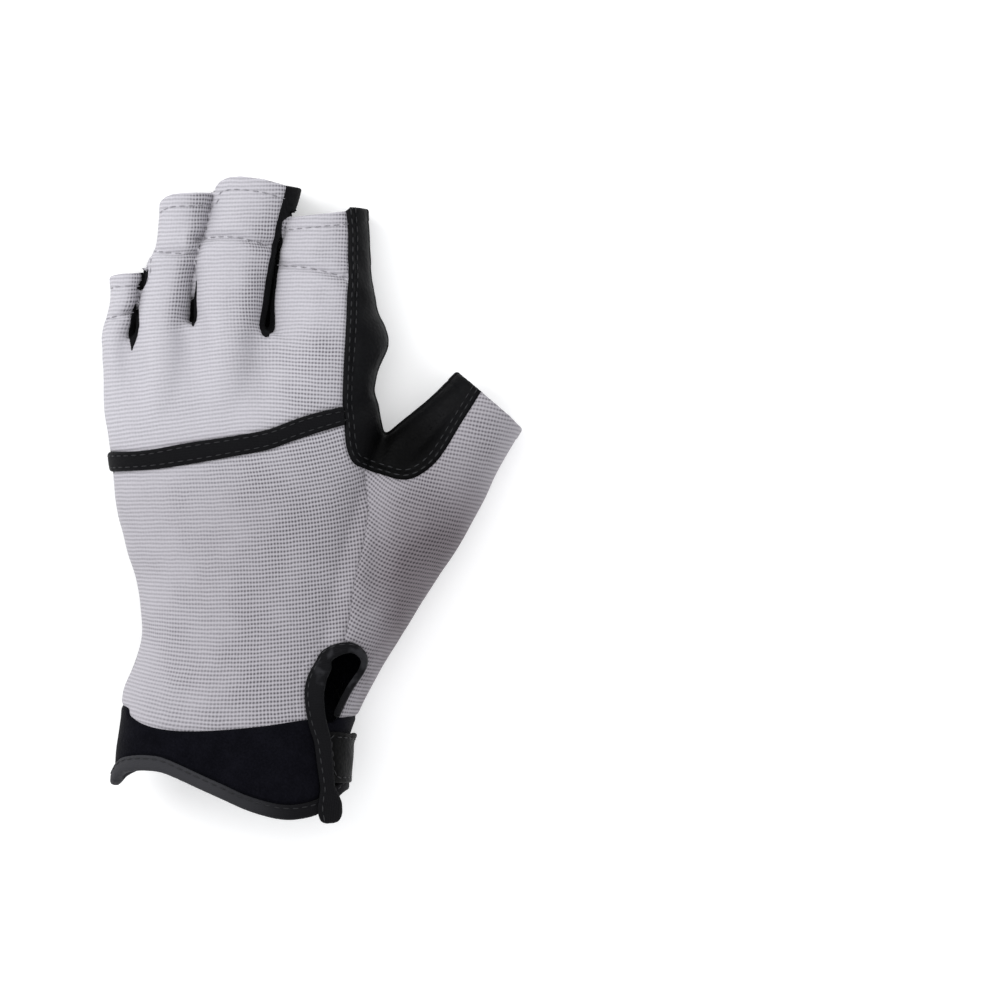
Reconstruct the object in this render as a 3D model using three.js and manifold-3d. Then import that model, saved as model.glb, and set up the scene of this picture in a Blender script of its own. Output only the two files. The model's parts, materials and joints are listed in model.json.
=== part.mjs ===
// Fingerless trekking glove for the left hand, lying palm down, in millimetres.
// X runs from the little finger to the thumb, Y from the cuff to the fingers, Z up to the back of the hand.
import * as THREE from 'three';
import { mergeVertices } from 'three/addons/utils/BufferGeometryUtils.js';
import Module from 'manifold-3d';

const wasm = await Module();
wasm.setup();

// Overall sizes: cuff edge to middle stall mouth, little finger side to thumb mouth, floor to cuff top
const LENGTH = 205;
const WIDTH = 132;
const DEPTH = 42;

// Cloth and leather
const WALL = 1.6;
const SEAM_GAP = 0.3;

// Trims that stand proud of the shell
const WELT_RISE = 0.8;
const BINDING_WIDTH = 4.7;
const BINDING_RISE = 0.7;
const LOOP_RISE = 1.6;
const LOOP_DROP = 0.5;

// Wrist tab, and how far each side panel between two stalls reaches round the stall
const TAB_WIDTH = 16;
const TAB_LENGTH = 52;
const TAB_THICKNESS = 1.5;
const FOURCHETTE_REACH = { little_ring: 2.6, ring_middle: 1.9, middle_index: 3.4 };

// Facets round each limb and along it, outside and inside
const FACETS = {
  outer: { body: [36, 20], stall: [16, 7], thumb: [22, 9] },
  inner: { body: [22, 11], stall: [12, 4], thumb: [14, 6] },
};
const SEAM_STEPS = 1;

// Sections of each limb, a row per section: its left and right edges as shares of WIDTH, its place as a share
// of LENGTH, and the height of its middle and its half depth as shares of DEPTH
const BODY = [
  { along: -0.031, left: 0.026, right: 0.577, middle: 0.552, half: 0.476 },
  { along: 0.062, left: 0.028, right: 0.578, middle: 0.548, half: 0.471 },
  { along: 0.107, left: 0.032, right: 0.579, middle: 0.536, half: 0.46 },
  { along: 0.162, left: 0.042, right: 0.584, middle: 0.507, half: 0.443 },
  { along: 0.206, left: 0.05, right: 0.596, middle: 0.476, half: 0.433 },
  { along: 0.255, left: 0.079, right: 0.61, middle: 0.426, half: 0.442 },
  { along: 0.301, left: 0.093, right: 0.624, middle: 0.407, half: 0.444 },
  { along: 0.374, left: 0.079, right: 0.639, middle: 0.402, half: 0.445 },
  { along: 0.422, left: 0.057, right: 0.644, middle: 0.407, half: 0.45 },
  { along: 0.487, left: 0.032, right: 0.653, middle: 0.417, half: 0.455 },
  { along: 0.541, left: 0.024, right: 0.663, middle: 0.421, half: 0.455 },
  { along: 0.595, left: 0.012, right: 0.669, middle: 0.421, half: 0.45 },
  { along: 0.637, left: 0.003, right: 0.66, middle: 0.41, half: 0.43 },
  { along: 0.682, left: 0.001, right: 0.651, middle: 0.4, half: 0.385 },
  { along: 0.736, left: 0.0, right: 0.662, middle: 0.375, half: 0.325 },
  { along: 0.79, left: 0.002, right: 0.655, middle: 0.34, half: 0.27 },
];
const LITTLE = [
  { along: 0.657, left: 0.02, right: 0.07, middle: 0.35, half: 0.32 },
  { along: 0.733, left: 0.002, right: 0.067, middle: 0.325, half: 0.285 },
  { along: 0.781, left: 0.002, right: 0.079, middle: 0.267, half: 0.243 },
  { along: 0.827, left: 0.008, right: 0.093, middle: 0.229, half: 0.224 },
  { along: 0.85, left: 0.012, right: 0.1, middle: 0.216, half: 0.216 },
];
const RING = [
  { along: 0.657, left: 0.082, right: 0.205, middle: 0.42, half: 0.385 },
  { along: 0.74, left: 0.079, right: 0.208, middle: 0.385, half: 0.33 },
  { along: 0.791, left: 0.089, right: 0.213, middle: 0.335, half: 0.288 },
  { along: 0.85, left: 0.11, right: 0.227, middle: 0.281, half: 0.257 },
  { along: 0.898, left: 0.127, right: 0.242, middle: 0.257, half: 0.25 },
  { along: 0.929, left: 0.132, right: 0.251, middle: 0.248, half: 0.246 },
  { along: 0.966, left: 0.136, right: 0.264, middle: 0.241, half: 0.24, slant: 0.008 },
];
const MIDDLE = [
  { along: 0.657, left: 0.225, right: 0.375, middle: 0.44, half: 0.405 },
  { along: 0.754, left: 0.222, right: 0.383, middle: 0.415, half: 0.34 },
  { along: 0.802, left: 0.221, right: 0.396, middle: 0.385, half: 0.3 },
  { along: 0.85, left: 0.234, right: 0.407, middle: 0.352, half: 0.271 },
  { along: 0.892, left: 0.249, right: 0.417, middle: 0.324, half: 0.262 },
  { along: 0.94, left: 0.258, right: 0.434, middle: 0.295, half: 0.257 },
  { along: 0.995, left: 0.273, right: 0.474, middle: 0.279, half: 0.255, slant: -0.008 },
];
const INDEX = [
  { along: 0.657, left: 0.405, right: 0.61, middle: 0.42, half: 0.39 },
  { along: 0.754, left: 0.397, right: 0.672, middle: 0.385, half: 0.33 },
  { along: 0.802, left: 0.405, right: 0.652, middle: 0.355, half: 0.295 },
  { along: 0.85, left: 0.418, right: 0.641, middle: 0.317, half: 0.267 },
  { along: 0.892, left: 0.429, right: 0.634, middle: 0.286, half: 0.257 },
  { along: 0.92, left: 0.438, right: 0.631, middle: 0.262, half: 0.25 },
  { along: 0.939, left: 0.443, right: 0.628, middle: 0.25, half: 0.247, slant: 0.014 },
];

// The thumb runs off to one side, so both ends of each of its sections have a place along the glove too
const THUMB = [
  { left: 0.514, along: 0.262, right: 0.59, rightAlong: 0.139, middle: 0.44, half: 0.34 },
  { left: 0.531, along: 0.348, right: 0.62, rightAlong: 0.181, middle: 0.43, half: 0.37 },
  { left: 0.567, along: 0.44, right: 0.677, rightAlong: 0.249, middle: 0.41, half: 0.395 },
  { left: 0.605, along: 0.518, right: 0.768, rightAlong: 0.344, middle: 0.4, half: 0.395 },
  { left: 0.641, along: 0.571, right: 0.835, rightAlong: 0.41, middle: 0.385, half: 0.385 },
  { left: 0.691, along: 0.607, right: 0.897, rightAlong: 0.477, middle: 0.37, half: 0.365 },
  { left: 0.77, along: 0.65, right: 0.952, rightAlong: 0.556, middle: 0.345, half: 0.338 },
  { left: 0.849, along: 0.698, right: 1.0, rightAlong: 0.615, middle: 0.325, half: 0.315 },
];

// How square each kind of section is: 2 is an ellipse
const SQUARENESS = { body: 2.45, stall: 2.25, thumb: 2.15 };

// The palm ends between the stalls in a curve that peaks between ring and middle
const CROWN = { across: 0.256, along: 0.774, fall: 0.72 };

// Folds and swellings, a row each: side 1 is the back and -1 the palm, turn is from X in degrees, long and wide
// are shares of LENGTH, and rise is a share of DEPTH, outward
const FOLDS = [
  { side: 1, across: 0.04, along: 0.67, turn: 90, long: 0.05, wide: 0.035, rise: 0.02 },
  { side: 1, across: 0.144, along: 0.7, turn: 90, long: 0.05, wide: 0.035, rise: 0.03 },
  { side: 1, across: 0.301, along: 0.715, turn: 90, long: 0.05, wide: 0.04, rise: 0.03 },
  { side: 1, across: 0.495, along: 0.7, turn: 90, long: 0.05, wide: 0.04, rise: 0.03 },
  { side: 1, across: 0.08, along: 0.7, turn: 100, long: 0.05, wide: 0.02, rise: -0.05 },
  { side: 1, across: 0.215, along: 0.735, turn: 92, long: 0.05, wide: 0.02, rise: -0.06 },
  { side: 1, across: 0.392, along: 0.715, turn: 84, long: 0.05, wide: 0.02, rise: -0.06 },
  { side: 1, across: 0.66, along: 0.42, turn: 92, long: 0.1, wide: 0.022, rise: -0.05 },
  { side: 1, across: 0.8, along: 0.5, turn: -40, long: 0.06, wide: 0.02, rise: -0.03 },
  { side: 1, across: 0.1, along: 0.24, turn: 8, long: 0.07, wide: 0.02, rise: -0.025 },
  { side: -1, across: 0.2, along: 0.82, turn: 60, long: 0.05, wide: 0.022, rise: -0.08 },
  { side: -1, across: 0.35, along: 0.83, turn: 70, long: 0.06, wide: 0.022, rise: -0.08 },
  { side: -1, across: 0.25, along: 0.66, turn: 25, long: 0.12, wide: 0.03, rise: -0.08 },
  { side: -1, across: 0.38, along: 0.45, turn: 60, long: 0.1, wide: 0.03, rise: -0.06 },
];

// Seams as points, each its share across WIDTH and its share along LENGTH
const WELT_TOP = [
  [-0.15, 0.58], [0.012, 0.58], [0.105, 0.582], [0.212, 0.595], [0.318, 0.603], [0.399, 0.611],
  [0.458, 0.624], [0.511, 0.634], [0.575, 0.643],
];
const WELT_BOTTOM = [
  [-0.15, 0.546], [0.025, 0.546], [0.121, 0.55], [0.212, 0.559], [0.318, 0.571], [0.399, 0.58],
  [0.452, 0.591], [0.511, 0.603], [0.58, 0.615],
];
const INDEX_SEAM = [
  [0.58, 0.615], [0.575, 0.643], [0.578, 0.733], [0.583, 0.836], [0.586, 0.906], [0.58, 0.958], [0.575, 1.05],
];
const CROTCH_SEAM = [
  [0.58, 0.615], [0.587, 0.58], [0.603, 0.556], [0.632, 0.547], [0.666, 0.54], [0.703, 0.533],
  [0.734, 0.532], [0.763, 0.539], [0.795, 0.555], [0.823, 0.579], [0.856, 0.615], [0.888, 0.648],
  [0.911, 0.672], [0.98, 0.75],
];
const THUMB_SEAM = [
  [0.567, 0.1], [0.567, 0.193], [0.583, 0.286], [0.595, 0.328], [0.6, 0.363], [0.616, 0.41],
  [0.632, 0.47], [0.632, 0.547],
];
const THUMB_PALM_SEAM = [
  [0.225, 0.1], [0.232, 0.175], [0.246, 0.209], [0.273, 0.264], [0.316, 0.317], [0.344, 0.363],
  [0.368, 0.41], [0.404, 0.453], [0.464, 0.491], [0.562, 0.533], [0.667, 0.569], [0.768, 0.615],
  [0.864, 0.679], [0.95, 0.75],
];
const THENAR_SEAM = [
  [0.316, 0.3], [0.294, 0.348], [0.273, 0.386], [0.263, 0.422], [0.278, 0.462], [0.323, 0.502],
  [0.385, 0.546], [0.457, 0.572], [0.548, 0.59], [0.651, 0.612], [0.746, 0.646], [0.835, 0.691], [0.92, 0.76],
];
const PALM_SEAM = [
  [-0.15, 0.53], [-0.007, 0.549], [0.089, 0.566], [0.179, 0.586], [0.239, 0.606], [0.282, 0.637],
  [0.335, 0.688], [0.371, 0.731], [0.39, 0.76],
];
const CUFF_TOP_BACK = [
  [-0.15, 0.2], [0.041, 0.184], [0.067, 0.168], [0.098, 0.156], [0.146, 0.148], [0.22, 0.145], [0.311, 0.148],
  [0.402, 0.154], [0.488, 0.162], [0.555, 0.164], [0.596, 0.165], [0.75, 0.165],
];
const CUFF_TOP_PALM = [
  [-0.15, 0.2], [0.041, 0.184], [0.089, 0.179], [0.232, 0.176], [0.423, 0.176], [0.519, 0.172],
  [0.596, 0.165], [0.75, 0.165],
];
const CUFF_EDGE_BACK = [
  [-0.15, 0.054], [-0.007, 0.054], [0.026, 0.062], [0.047, 0.076], [0.071, 0.083], [0.105, 0.085],
  [0.144, 0.082], [0.182, 0.073], [0.23, 0.059], [0.299, 0.039], [0.347, 0.025], [0.395, 0.015],
  [0.433, 0.01], [0.471, 0.01], [0.52, 0.018], [0.557, 0.039], [0.598, 0.055], [0.75, 0.06],
];
const CUFF_EDGE_PALM = [
  [-0.15, 0.054], [-0.007, 0.054], [0.026, 0.062], [0.05, 0.073], [0.084, 0.082], [0.13, 0.084],
  [0.182, 0.076], [0.232, 0.064], [0.311, 0.05], [0.4, 0.043], [0.48, 0.043], [0.55, 0.05],
  [0.598, 0.055], [0.75, 0.06],
];

// Middle of the slit's binding: up one side of the slit, round its top and down the other
const SLIT_LOOP = [
  [0.541, 0.0], [0.541, 0.054], [0.533, 0.123], [0.512, 0.168], [0.5, 0.202], [0.512, 0.236],
  [0.543, 0.262], [0.581, 0.275], [0.61, 0.264], [0.612, 0.244], [0.596, 0.218], [0.582, 0.193], [0.575, 0.172],
];
const LOOP_START = 3;

// The crotch seam's point where the thumb seam starts, and the thumb's palm seam's where the thenar patch does
const CROTCH_CORNER = 3;
const THENAR_CORNER = 4;

// Middle of the space between two stalls, from the palm's crown up to the longer stall's mouth and past it
const STALL_SPACES = {
  little_ring: [[0.072, 0.72], [0.084, 0.781], [0.1, 0.827], [0.105, 0.847], [0.117, 0.87], [0.128, 0.91],
    [0.132, 0.96], [0.134, 1.05]],
  ring_middle: [[0.215, 0.75], [0.217, 0.795], [0.231, 0.85], [0.245, 0.894], [0.255, 0.935], [0.268, 0.98],
    [0.275, 1.05]],
  middle_index: [[0.39, 0.735], [0.4, 0.802], [0.412, 0.85], [0.423, 0.892], [0.436, 0.922], [0.444, 0.94],
    [0.48, 0.99], [0.5, 1.05]],
};

// Height at which back and palm pieces meet at the sides, as shares of LENGTH and DEPTH
const SIDE_SEAM = [
  [-0.15, 0.55], [0.1, 0.54], [0.2, 0.48], [0.3, 0.42], [0.55, 0.42], [0.7, 0.4], [0.78, 0.35], [0.85, 0.3],
  [0.93, 0.27], [1.15, 0.26],
];

const FAR = 2;
const ABOVE = 3;
const MOUTH_RUN = 6;

const knit = new THREE.MeshStandardMaterial({ color: 0xb9b5bf, roughness: 0.9, metalness: 0 });
const leather = new THREE.MeshStandardMaterial({ color: 0x141416, roughness: 0.62, metalness: 0 });
const cuffCloth = new THREE.MeshStandardMaterial({ color: 0x0c0b10, roughness: 0.95, metalness: 0 });
const tape = new THREE.MeshStandardMaterial({ color: 0x19191c, roughness: 0.8, metalness: 0 });

const acrossToX = (share) => (share - 0.5) * WIDTH;
const alongToY = (share) => (share - 0.5) * LENGTH;
const place = ([across, along]) => new THREE.Vector2(acrossToX(across), alongToY(along));

// How far a point of the back or palm is pushed out by the folds near it
function relief(x, y, side) {
  let push = 0;
  for (const fold of FOLDS) {
    if (fold.side !== side) continue;
    const turn = THREE.MathUtils.degToRad(fold.turn);
    const dx = x - acrossToX(fold.across);
    const dy = y - alongToY(fold.along);
    const u = (dx * Math.cos(turn) + dy * Math.sin(turn)) / (fold.long * LENGTH);
    const v = (dy * Math.cos(turn) - dx * Math.sin(turn)) / (fold.wide * LENGTH);
    push += fold.rise * DEPTH * Math.exp(-u * u - v * v);
  }
  return push;
}

// A closed loft of superellipse sections, drawn in by inset and flattened where it meets the floor
function limbGeometry(rows, { square, around, steps, inset, mouthRun = 0, baseRun = 0 }) {
  const edge = (sideOf) => new THREE.CatmullRomCurve3(rows.map(sideOf), false, 'catmullrom', 0.5);
  const left = edge((row) => new THREE.Vector3(acrossToX(row.left), alongToY(row.along), row.middle * DEPTH));
  const right = edge((row) => {
    const along = row.rightAlong ?? row.along + (row.slant ?? 0);
    return new THREE.Vector3(acrossToX(row.right), alongToY(along), row.middle * DEPTH);
  });
  const half = edge((row) => new THREE.Vector3(row.half * DEPTH, 0, 0));
  const stations = [];
  for (let step = 0; step <= steps; step += 1) {
    const u = step / steps;
    stations.push({ a: left.getPoint(u), b: right.getPoint(u), depth: half.getPoint(u).x });
  }
  const runOn = (end, next, run) => {
    const shift = end.a.clone().add(end.b).sub(next.a).sub(next.b).setLength(run);
    return { a: end.a.clone().add(shift), b: end.b.clone().add(shift), depth: end.depth };
  };
  if (mouthRun > 0) stations.push(runOn(stations.at(-1), stations.at(-2), mouthRun));
  if (baseRun > 0) stations.unshift(runOn(stations[0], stations[1], baseRun));
  const positions = [];
  for (const { a, b, depth } of stations) {
    const middle = a.clone().add(b).multiplyScalar(0.5);
    const across = b.clone().sub(a).multiplyScalar(0.5);
    across.setLength(across.length() - inset);
    for (let i = 0; i < around; i += 1) {
      const angle = (2 * Math.PI * i) / around;
      const bulge = (value) => Math.sign(value) * Math.abs(value) ** (2 / square);
      const point = middle.clone().addScaledVector(across, bulge(Math.cos(angle)));
      const height = bulge(Math.sin(angle));
      const fold = relief(point.x, point.y, Math.sign(height)) * height;
      point.z = Math.max(point.z + (depth - inset) * height + fold, Math.max(inset, 0));
      positions.push(point.x, point.y, point.z);
    }
  }
  const index = [];
  for (let s = 0; s < stations.length - 1; s += 1) {
    for (let i = 0; i < around; i += 1) {
      const here = s * around + i;
      const beside = s * around + ((i + 1) % around);
      index.push(here, here + around, beside, beside, here + around, beside + around);
    }
  }
  for (const [ring, flip] of [[0, false], [stations.length - 1, true]]) {
    for (let i = 1; i < around - 1; i += 1) {
      const [p, q, r] = [ring * around, ring * around + i, ring * around + i + 1];
      index.push(...(flip ? [p, r, q] : [p, q, r]));
    }
  }
  const geometry = new THREE.BufferGeometry();
  geometry.setAttribute('position', new THREE.Float32BufferAttribute(positions, 3));
  geometry.setIndex(index);
  return geometry;
}

// A three.js geometry as a solid that can be joined and cut
function solidOf(geometry) {
  geometry.deleteAttribute('normal');
  geometry.deleteAttribute('uv');
  const merged = mergeVertices(geometry, 1e-5);
  const vertProperties = new Float32Array(merged.attributes.position.array);
  const triVerts = new Uint32Array(merged.index.array);
  return new wasm.Manifold(new wasm.Mesh({ numProp: 3, vertProperties, triVerts }));
}

const joined = (solids) => solids.reduce((sum, solid) => sum.add(solid));

// Every limb as one solid, drawn in by inset from the outside of the glove
function filling(inset, detail, runs = {}) {
  const limb = (rows, kind) => {
    const [around, steps] = detail[kind];
    return solidOf(limbGeometry(rows, { square: SQUARENESS[kind], around, steps, inset, ...runs[kind] }));
  };
  const palm = limb(BODY, 'body').intersect(crown(inset));
  const stalls = [LITTLE, RING, MIDDLE, INDEX].map((rows) => limb(rows, 'stall'));
  return joined([palm, limb(THUMB, 'thumb'), ...stalls]);
}

// The shell of the glove between two offsets from its outside: rise outward and drop inward
function shell(rise, drop) {
  const runs = {
    body: { baseRun: MOUTH_RUN },
    stall: { mouthRun: MOUTH_RUN },
    thumb: { mouthRun: MOUTH_RUN },
  };
  return filling(-rise, FACETS.outer).subtract(filling(drop, FACETS.inner, runs));
}

// An upright block with the given outline
function block(outline) {
  const shape = new THREE.Shape(outline);
  const tall = ABOVE * DEPTH;
  const geometry = new THREE.ExtrudeGeometry(shape, { depth: 2 * tall, bevelEnabled: false });
  geometry.translate(0, 0, -tall);
  return solidOf(geometry);
}

// A block that runs across the whole glove, with the given outline in Y and Z
function crossBlock(outline) {
  const shape = new THREE.Shape(outline);
  const span = FAR * WIDTH;
  const geometry = new THREE.ExtrudeGeometry(shape, { depth: 2 * span, bevelEnabled: false });
  const turn = new THREE.Matrix4().makeBasis(
    new THREE.Vector3(0, 1, 0), new THREE.Vector3(0, 0, 1), new THREE.Vector3(1, 0, 0));
  geometry.applyMatrix4(turn);
  geometry.translate(-span, 0, 0);
  return solidOf(geometry);
}

// A seam's points in millimetres, smoothed
function smooth(seam) {
  const curve = new THREE.SplineCurve(seam.map(place));
  return curve.getPoints(Math.round((seam.length - 1) * SEAM_STEPS));
}

// The line at a steady distance beside a line of points
function beside(points, distance) {
  return points.map((point, i) => {
    const before = points[Math.max(i - 1, 0)];
    const after = points[Math.min(i + 1, points.length - 1)];
    const along = after.clone().sub(before).normalize();
    return new THREE.Vector2(point.x - along.y * distance, point.y + along.x * distance);
  });
}

// An upright band of the given width that follows a line of points
function band(points, width) {
  return block([...beside(points, -width / 2), ...beside(points, width / 2).reverse()]);
}

const raised = (points, distance) => points.map((p) => new THREE.Vector2(p.x, p.y + distance));
const corner = (across, along) => place([across, along]);

// The palm's own end between the stalls
function crown(inset) {
  const points = [];
  for (let step = -10; step <= 12; step += 1) {
    const across = CROWN.across + step * 0.05;
    const along = CROWN.along - CROWN.fall * (across - CROWN.across) ** 2;
    points.push(new THREE.Vector2(acrossToX(across), alongToY(along) - inset));
  }
  return block([corner(-1, -1), corner(FAR, -1), corner(FAR, 0.2), ...points.reverse(), corner(-1, 0.2)]);
}

// Above, below and near the height where back and palm pieces meet
const sideLine = new THREE.SplineCurve(SIDE_SEAM.map(([along, height]) => (
  new THREE.Vector2(alongToY(along), height * DEPTH)))).getPoints(SIDE_SEAM.length * 2);
const high = ABOVE * DEPTH;
const sideEnd = (end, height) => new THREE.Vector2(sideLine.at(end).x, height);
const backHalf = crossBlock([...raised(sideLine, SEAM_GAP / 2), sideEnd(-1, high), sideEnd(0, high)]);
const palmHalf = crossBlock([...raised(sideLine, -SEAM_GAP / 2), sideEnd(-1, -high), sideEnd(0, -high)]);
const sideBand = crossBlock([...raised(sideLine, -SEAM_GAP), ...raised(sideLine, SEAM_GAP).reverse()]);

const onBack = (outline) => outline.intersect(backHalf);
const onPalm = (outline) => outline.intersect(palmHalf);

// A piece that passes round the side of the glove from back to palm without a seam
const roundSide = (back, palm) => (
  joined([onBack(back), onPalm(palm), back.intersect(palm).intersect(sideBand)]));

// Smoothed seams
const weltTop = smooth(WELT_TOP);
const weltBottom = smooth(WELT_BOTTOM);
const indexSeam = smooth(INDEX_SEAM);
const crotchSeam = smooth(CROTCH_SEAM);
const thumbSeam = smooth(THUMB_SEAM);
const thumbPalmSeam = smooth(THUMB_PALM_SEAM);
const thenarSeam = smooth(THENAR_SEAM);
const palmSeam = smooth(PALM_SEAM);
const cuffTopBack = smooth(CUFF_TOP_BACK);
const cuffTopPalm = smooth(CUFF_TOP_PALM);
const edgeBack = smooth(CUFF_EDGE_BACK);
const edgePalm = smooth(CUFF_EDGE_PALM);
const slitLoop = smooth(SLIT_LOOP);

// Outlines that take in everything on one side of a seam
const aboveLine = (points) => block([...points, corner(FAR, FAR), corner(-1, FAR)]);
const belowLine = (points) => block([corner(-1, -1), corner(FAR, -1), ...[...points].reverse()]);

const stallSpaces = Object.fromEntries(
  Object.entries(STALL_SPACES).map(([name, points]) => [name, smooth(points)]));
const fourchetteBands = Object.fromEntries(Object.entries(stallSpaces).map(([name, line]) => (
  [name, band(line, 2 * FOURCHETTE_REACH[name])])));
const clearOfFourchettes = joined(Object.entries(stallSpaces).map(([name, line]) => (
  band(line, 2 * (FOURCHETTE_REACH[name] + SEAM_GAP)))));

// The slit's own zone: the binding with its clearance and the hollow inside the loop
const loopMouth = slitLoop.slice(LOOP_START * SEAM_STEPS);
const slitZone = band(slitLoop, BINDING_WIDTH + 2 * SEAM_GAP).add(block(loopMouth));
const slitBand = band(slitLoop, BINDING_WIDTH);
const slitLeg = slitLoop.slice(0, LOOP_START * SEAM_STEPS + 1);
const rightOfSlit = block([...slitLeg, corner(0.555, 0.172), corner(0.6, 0.3), corner(FAR, 0.3), corner(FAR, -1),
  corner(0.541, -1)]);

// Gaps along the seams of the back and of the palm
const cut = (points) => band(points, SEAM_GAP);
const backGaps = joined([weltTop, weltBottom, indexSeam, crotchSeam, thumbSeam, cuffTopBack,
  raised(edgeBack, BINDING_WIDTH)].map(cut)).intersect(crossBlock([
  ...sideLine, sideEnd(-1, high), sideEnd(0, high)]));
const palmGaps = joined([thumbPalmSeam, thenarSeam, cuffTopPalm, palmSeam,
  raised(edgePalm, BINDING_WIDTH)].map(cut)).intersect(crossBlock([
  ...sideLine, sideEnd(-1, -high), sideEnd(0, -high)]));

// Panels of the back
const knuckleOutline = block([...weltTop, ...indexSeam.slice(SEAM_STEPS), corner(0.575, FAR), corner(-1, FAR),
  corner(-1, 0.58)]);
const weltOutline = block([...weltTop, ...[...weltBottom].reverse()]);
const lowerBackOutline = block([...weltBottom, ...crotchSeam.slice(1, CROTCH_CORNER * SEAM_STEPS),
  ...[...thumbSeam].reverse(), corner(0.567, -1), corner(-1, -1), corner(-1, 0.546)]).subtract(belowLine(cuffTopBack));
const indexOutline = block([...indexSeam, corner(FAR, FAR), corner(FAR, 0.75), ...[...crotchSeam].reverse()]);
const thumbBackOutline = block([...thumbSeam, ...crotchSeam.slice(CROTCH_CORNER * SEAM_STEPS + 1), corner(FAR, 0.75),
  corner(FAR, -1), corner(0.567, -1)]).subtract(belowLine(cuffTopBack));

// Panels of the palm
const thumbPalmOutline = block([...thumbPalmSeam, corner(FAR, 0.75), corner(FAR, -1), corner(0.225, -1)])
  .subtract(belowLine(cuffTopPalm));
const thenarOutline = block([...thenarSeam, ...[...thumbPalmSeam].reverse().slice(0, -THENAR_CORNER * SEAM_STEPS)]);
const fingerPalmOutline = block([...palmSeam, ...stallSpaces.middle_index.slice(1), corner(-1, FAR),
  corner(-1, 0.53)]);
const palmOutline = aboveLine(cuffTopPalm).subtract(thumbPalmOutline).subtract(thenarOutline)
  .subtract(fingerPalmOutline);

// Cuff
const cuffBackOutline = belowLine(cuffTopBack).intersect(aboveLine(raised(edgeBack, BINDING_WIDTH)));
const cuffPalmOutline = belowLine(cuffTopPalm).intersect(aboveLine(raised(edgePalm, BINDING_WIDTH)));
const edgeBackOutline = aboveLine(edgeBack).intersect(belowLine(raised(edgeBack, BINDING_WIDTH)));
const edgePalmOutline = aboveLine(edgePalm).intersect(belowLine(raised(edgePalm, BINDING_WIDTH)));

// The tab starts beside the slit on the back, passes round the thumb side and ends under the palm
const tabMiddle = [0, 1].map((share) => {
  const x = acrossToX(0.579) - TAB_LENGTH * (1 - share) + share * WIDTH;
  const y = alongToY(share === 0 ? 0.132 : 0.09);
  return new THREE.Vector2(x, y);
});
const tabOutline = band(tabMiddle, TAB_WIDTH);
const tabBackOutline = tabOutline.intersect(rightOfSlit).subtract(slitZone);

const cloth = shell(0, WALL);
const sewn = (outline, gaps) => cloth.intersect(outline).subtract(gaps);
const slitCut = onBack(slitZone);

// The part of a cut that holds together as one piece
function mainPiece(solid) {
  return solid.decompose().reduce((best, piece) => (piece.volume() > best.volume() ? piece : best));
}

const fourchette = (name) => cloth.intersect(fourchetteBands[name]);
const solids = {
  knuckle_panel: [sewn(onBack(knuckleOutline).subtract(clearOfFourchettes), backGaps), knit],
  knuckle_welt: [shell(WELT_RISE, WALL).intersect(onBack(weltOutline)).subtract(backGaps), tape],
  lower_back_panel: [sewn(onBack(lowerBackOutline).subtract(slitCut), backGaps), knit],
  thumb_panel: [sewn(roundSide(thumbBackOutline, thumbPalmOutline).subtract(slitCut),
    backGaps.add(palmGaps)), knit],
  index_strip: [sewn(onBack(indexOutline).subtract(clearOfFourchettes), backGaps), leather],
  palm_panel: [sewn(onPalm(palmOutline).subtract(clearOfFourchettes), palmGaps), leather],
  finger_palm_panel: [sewn(onPalm(fingerPalmOutline).subtract(clearOfFourchettes), palmGaps), leather],
  thenar_patch: [sewn(onPalm(thenarOutline), palmGaps), leather],
  fourchette_little_ring: [fourchette('little_ring'), tape],
  fourchette_ring_middle: [fourchette('ring_middle'), tape],
  fourchette_middle_index: [fourchette('middle_index'), tape],
  cuff_back: [sewn(onBack(cuffBackOutline.subtract(rightOfSlit)).subtract(slitCut), backGaps), cuffCloth],
  cuff_palm: [sewn(roundSide(cuffBackOutline.intersect(rightOfSlit), cuffPalmOutline).subtract(slitCut),
    backGaps.add(palmGaps)), cuffCloth],
  cuff_binding: [shell(BINDING_RISE, WALL + BINDING_RISE).intersect(
    roundSide(edgeBackOutline, edgePalmOutline).subtract(slitCut)).subtract(backGaps.add(palmGaps)), tape],
  slit_binding: [shell(LOOP_RISE, WALL + LOOP_DROP).intersect(onBack(slitBand)), tape],
  wrist_tab: [shell(BINDING_RISE + SEAM_GAP + TAB_THICKNESS, -BINDING_RISE - SEAM_GAP)
    .intersect(roundSide(tabBackOutline, tabOutline)), leather],
};

const glove = new THREE.Group();
for (const [name, [solid, finish]] of Object.entries(solids)) {
  const { vertProperties, triVerts } = mainPiece(solid).getMesh();
  const geometry = new THREE.BufferGeometry();
  geometry.setAttribute('position', new THREE.BufferAttribute(vertProperties, 3));
  geometry.setIndex(new THREE.BufferAttribute(triVerts, 1));
  const mesh = new THREE.Mesh(geometry, finish.clone());
  mesh.name = name;
  glove.add(mesh);
}

// The origin is at the middle of the outline, on the floor
const bounds = new THREE.Box3().setFromObject(glove);
const middle = bounds.getCenter(new THREE.Vector3());
glove.position.set(-middle.x, -middle.y, -bounds.min.z);

export default glove;
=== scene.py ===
import json
import math

import bpy
import numpy as np
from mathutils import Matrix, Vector
from mathutils.kdtree import KDTree

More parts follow.
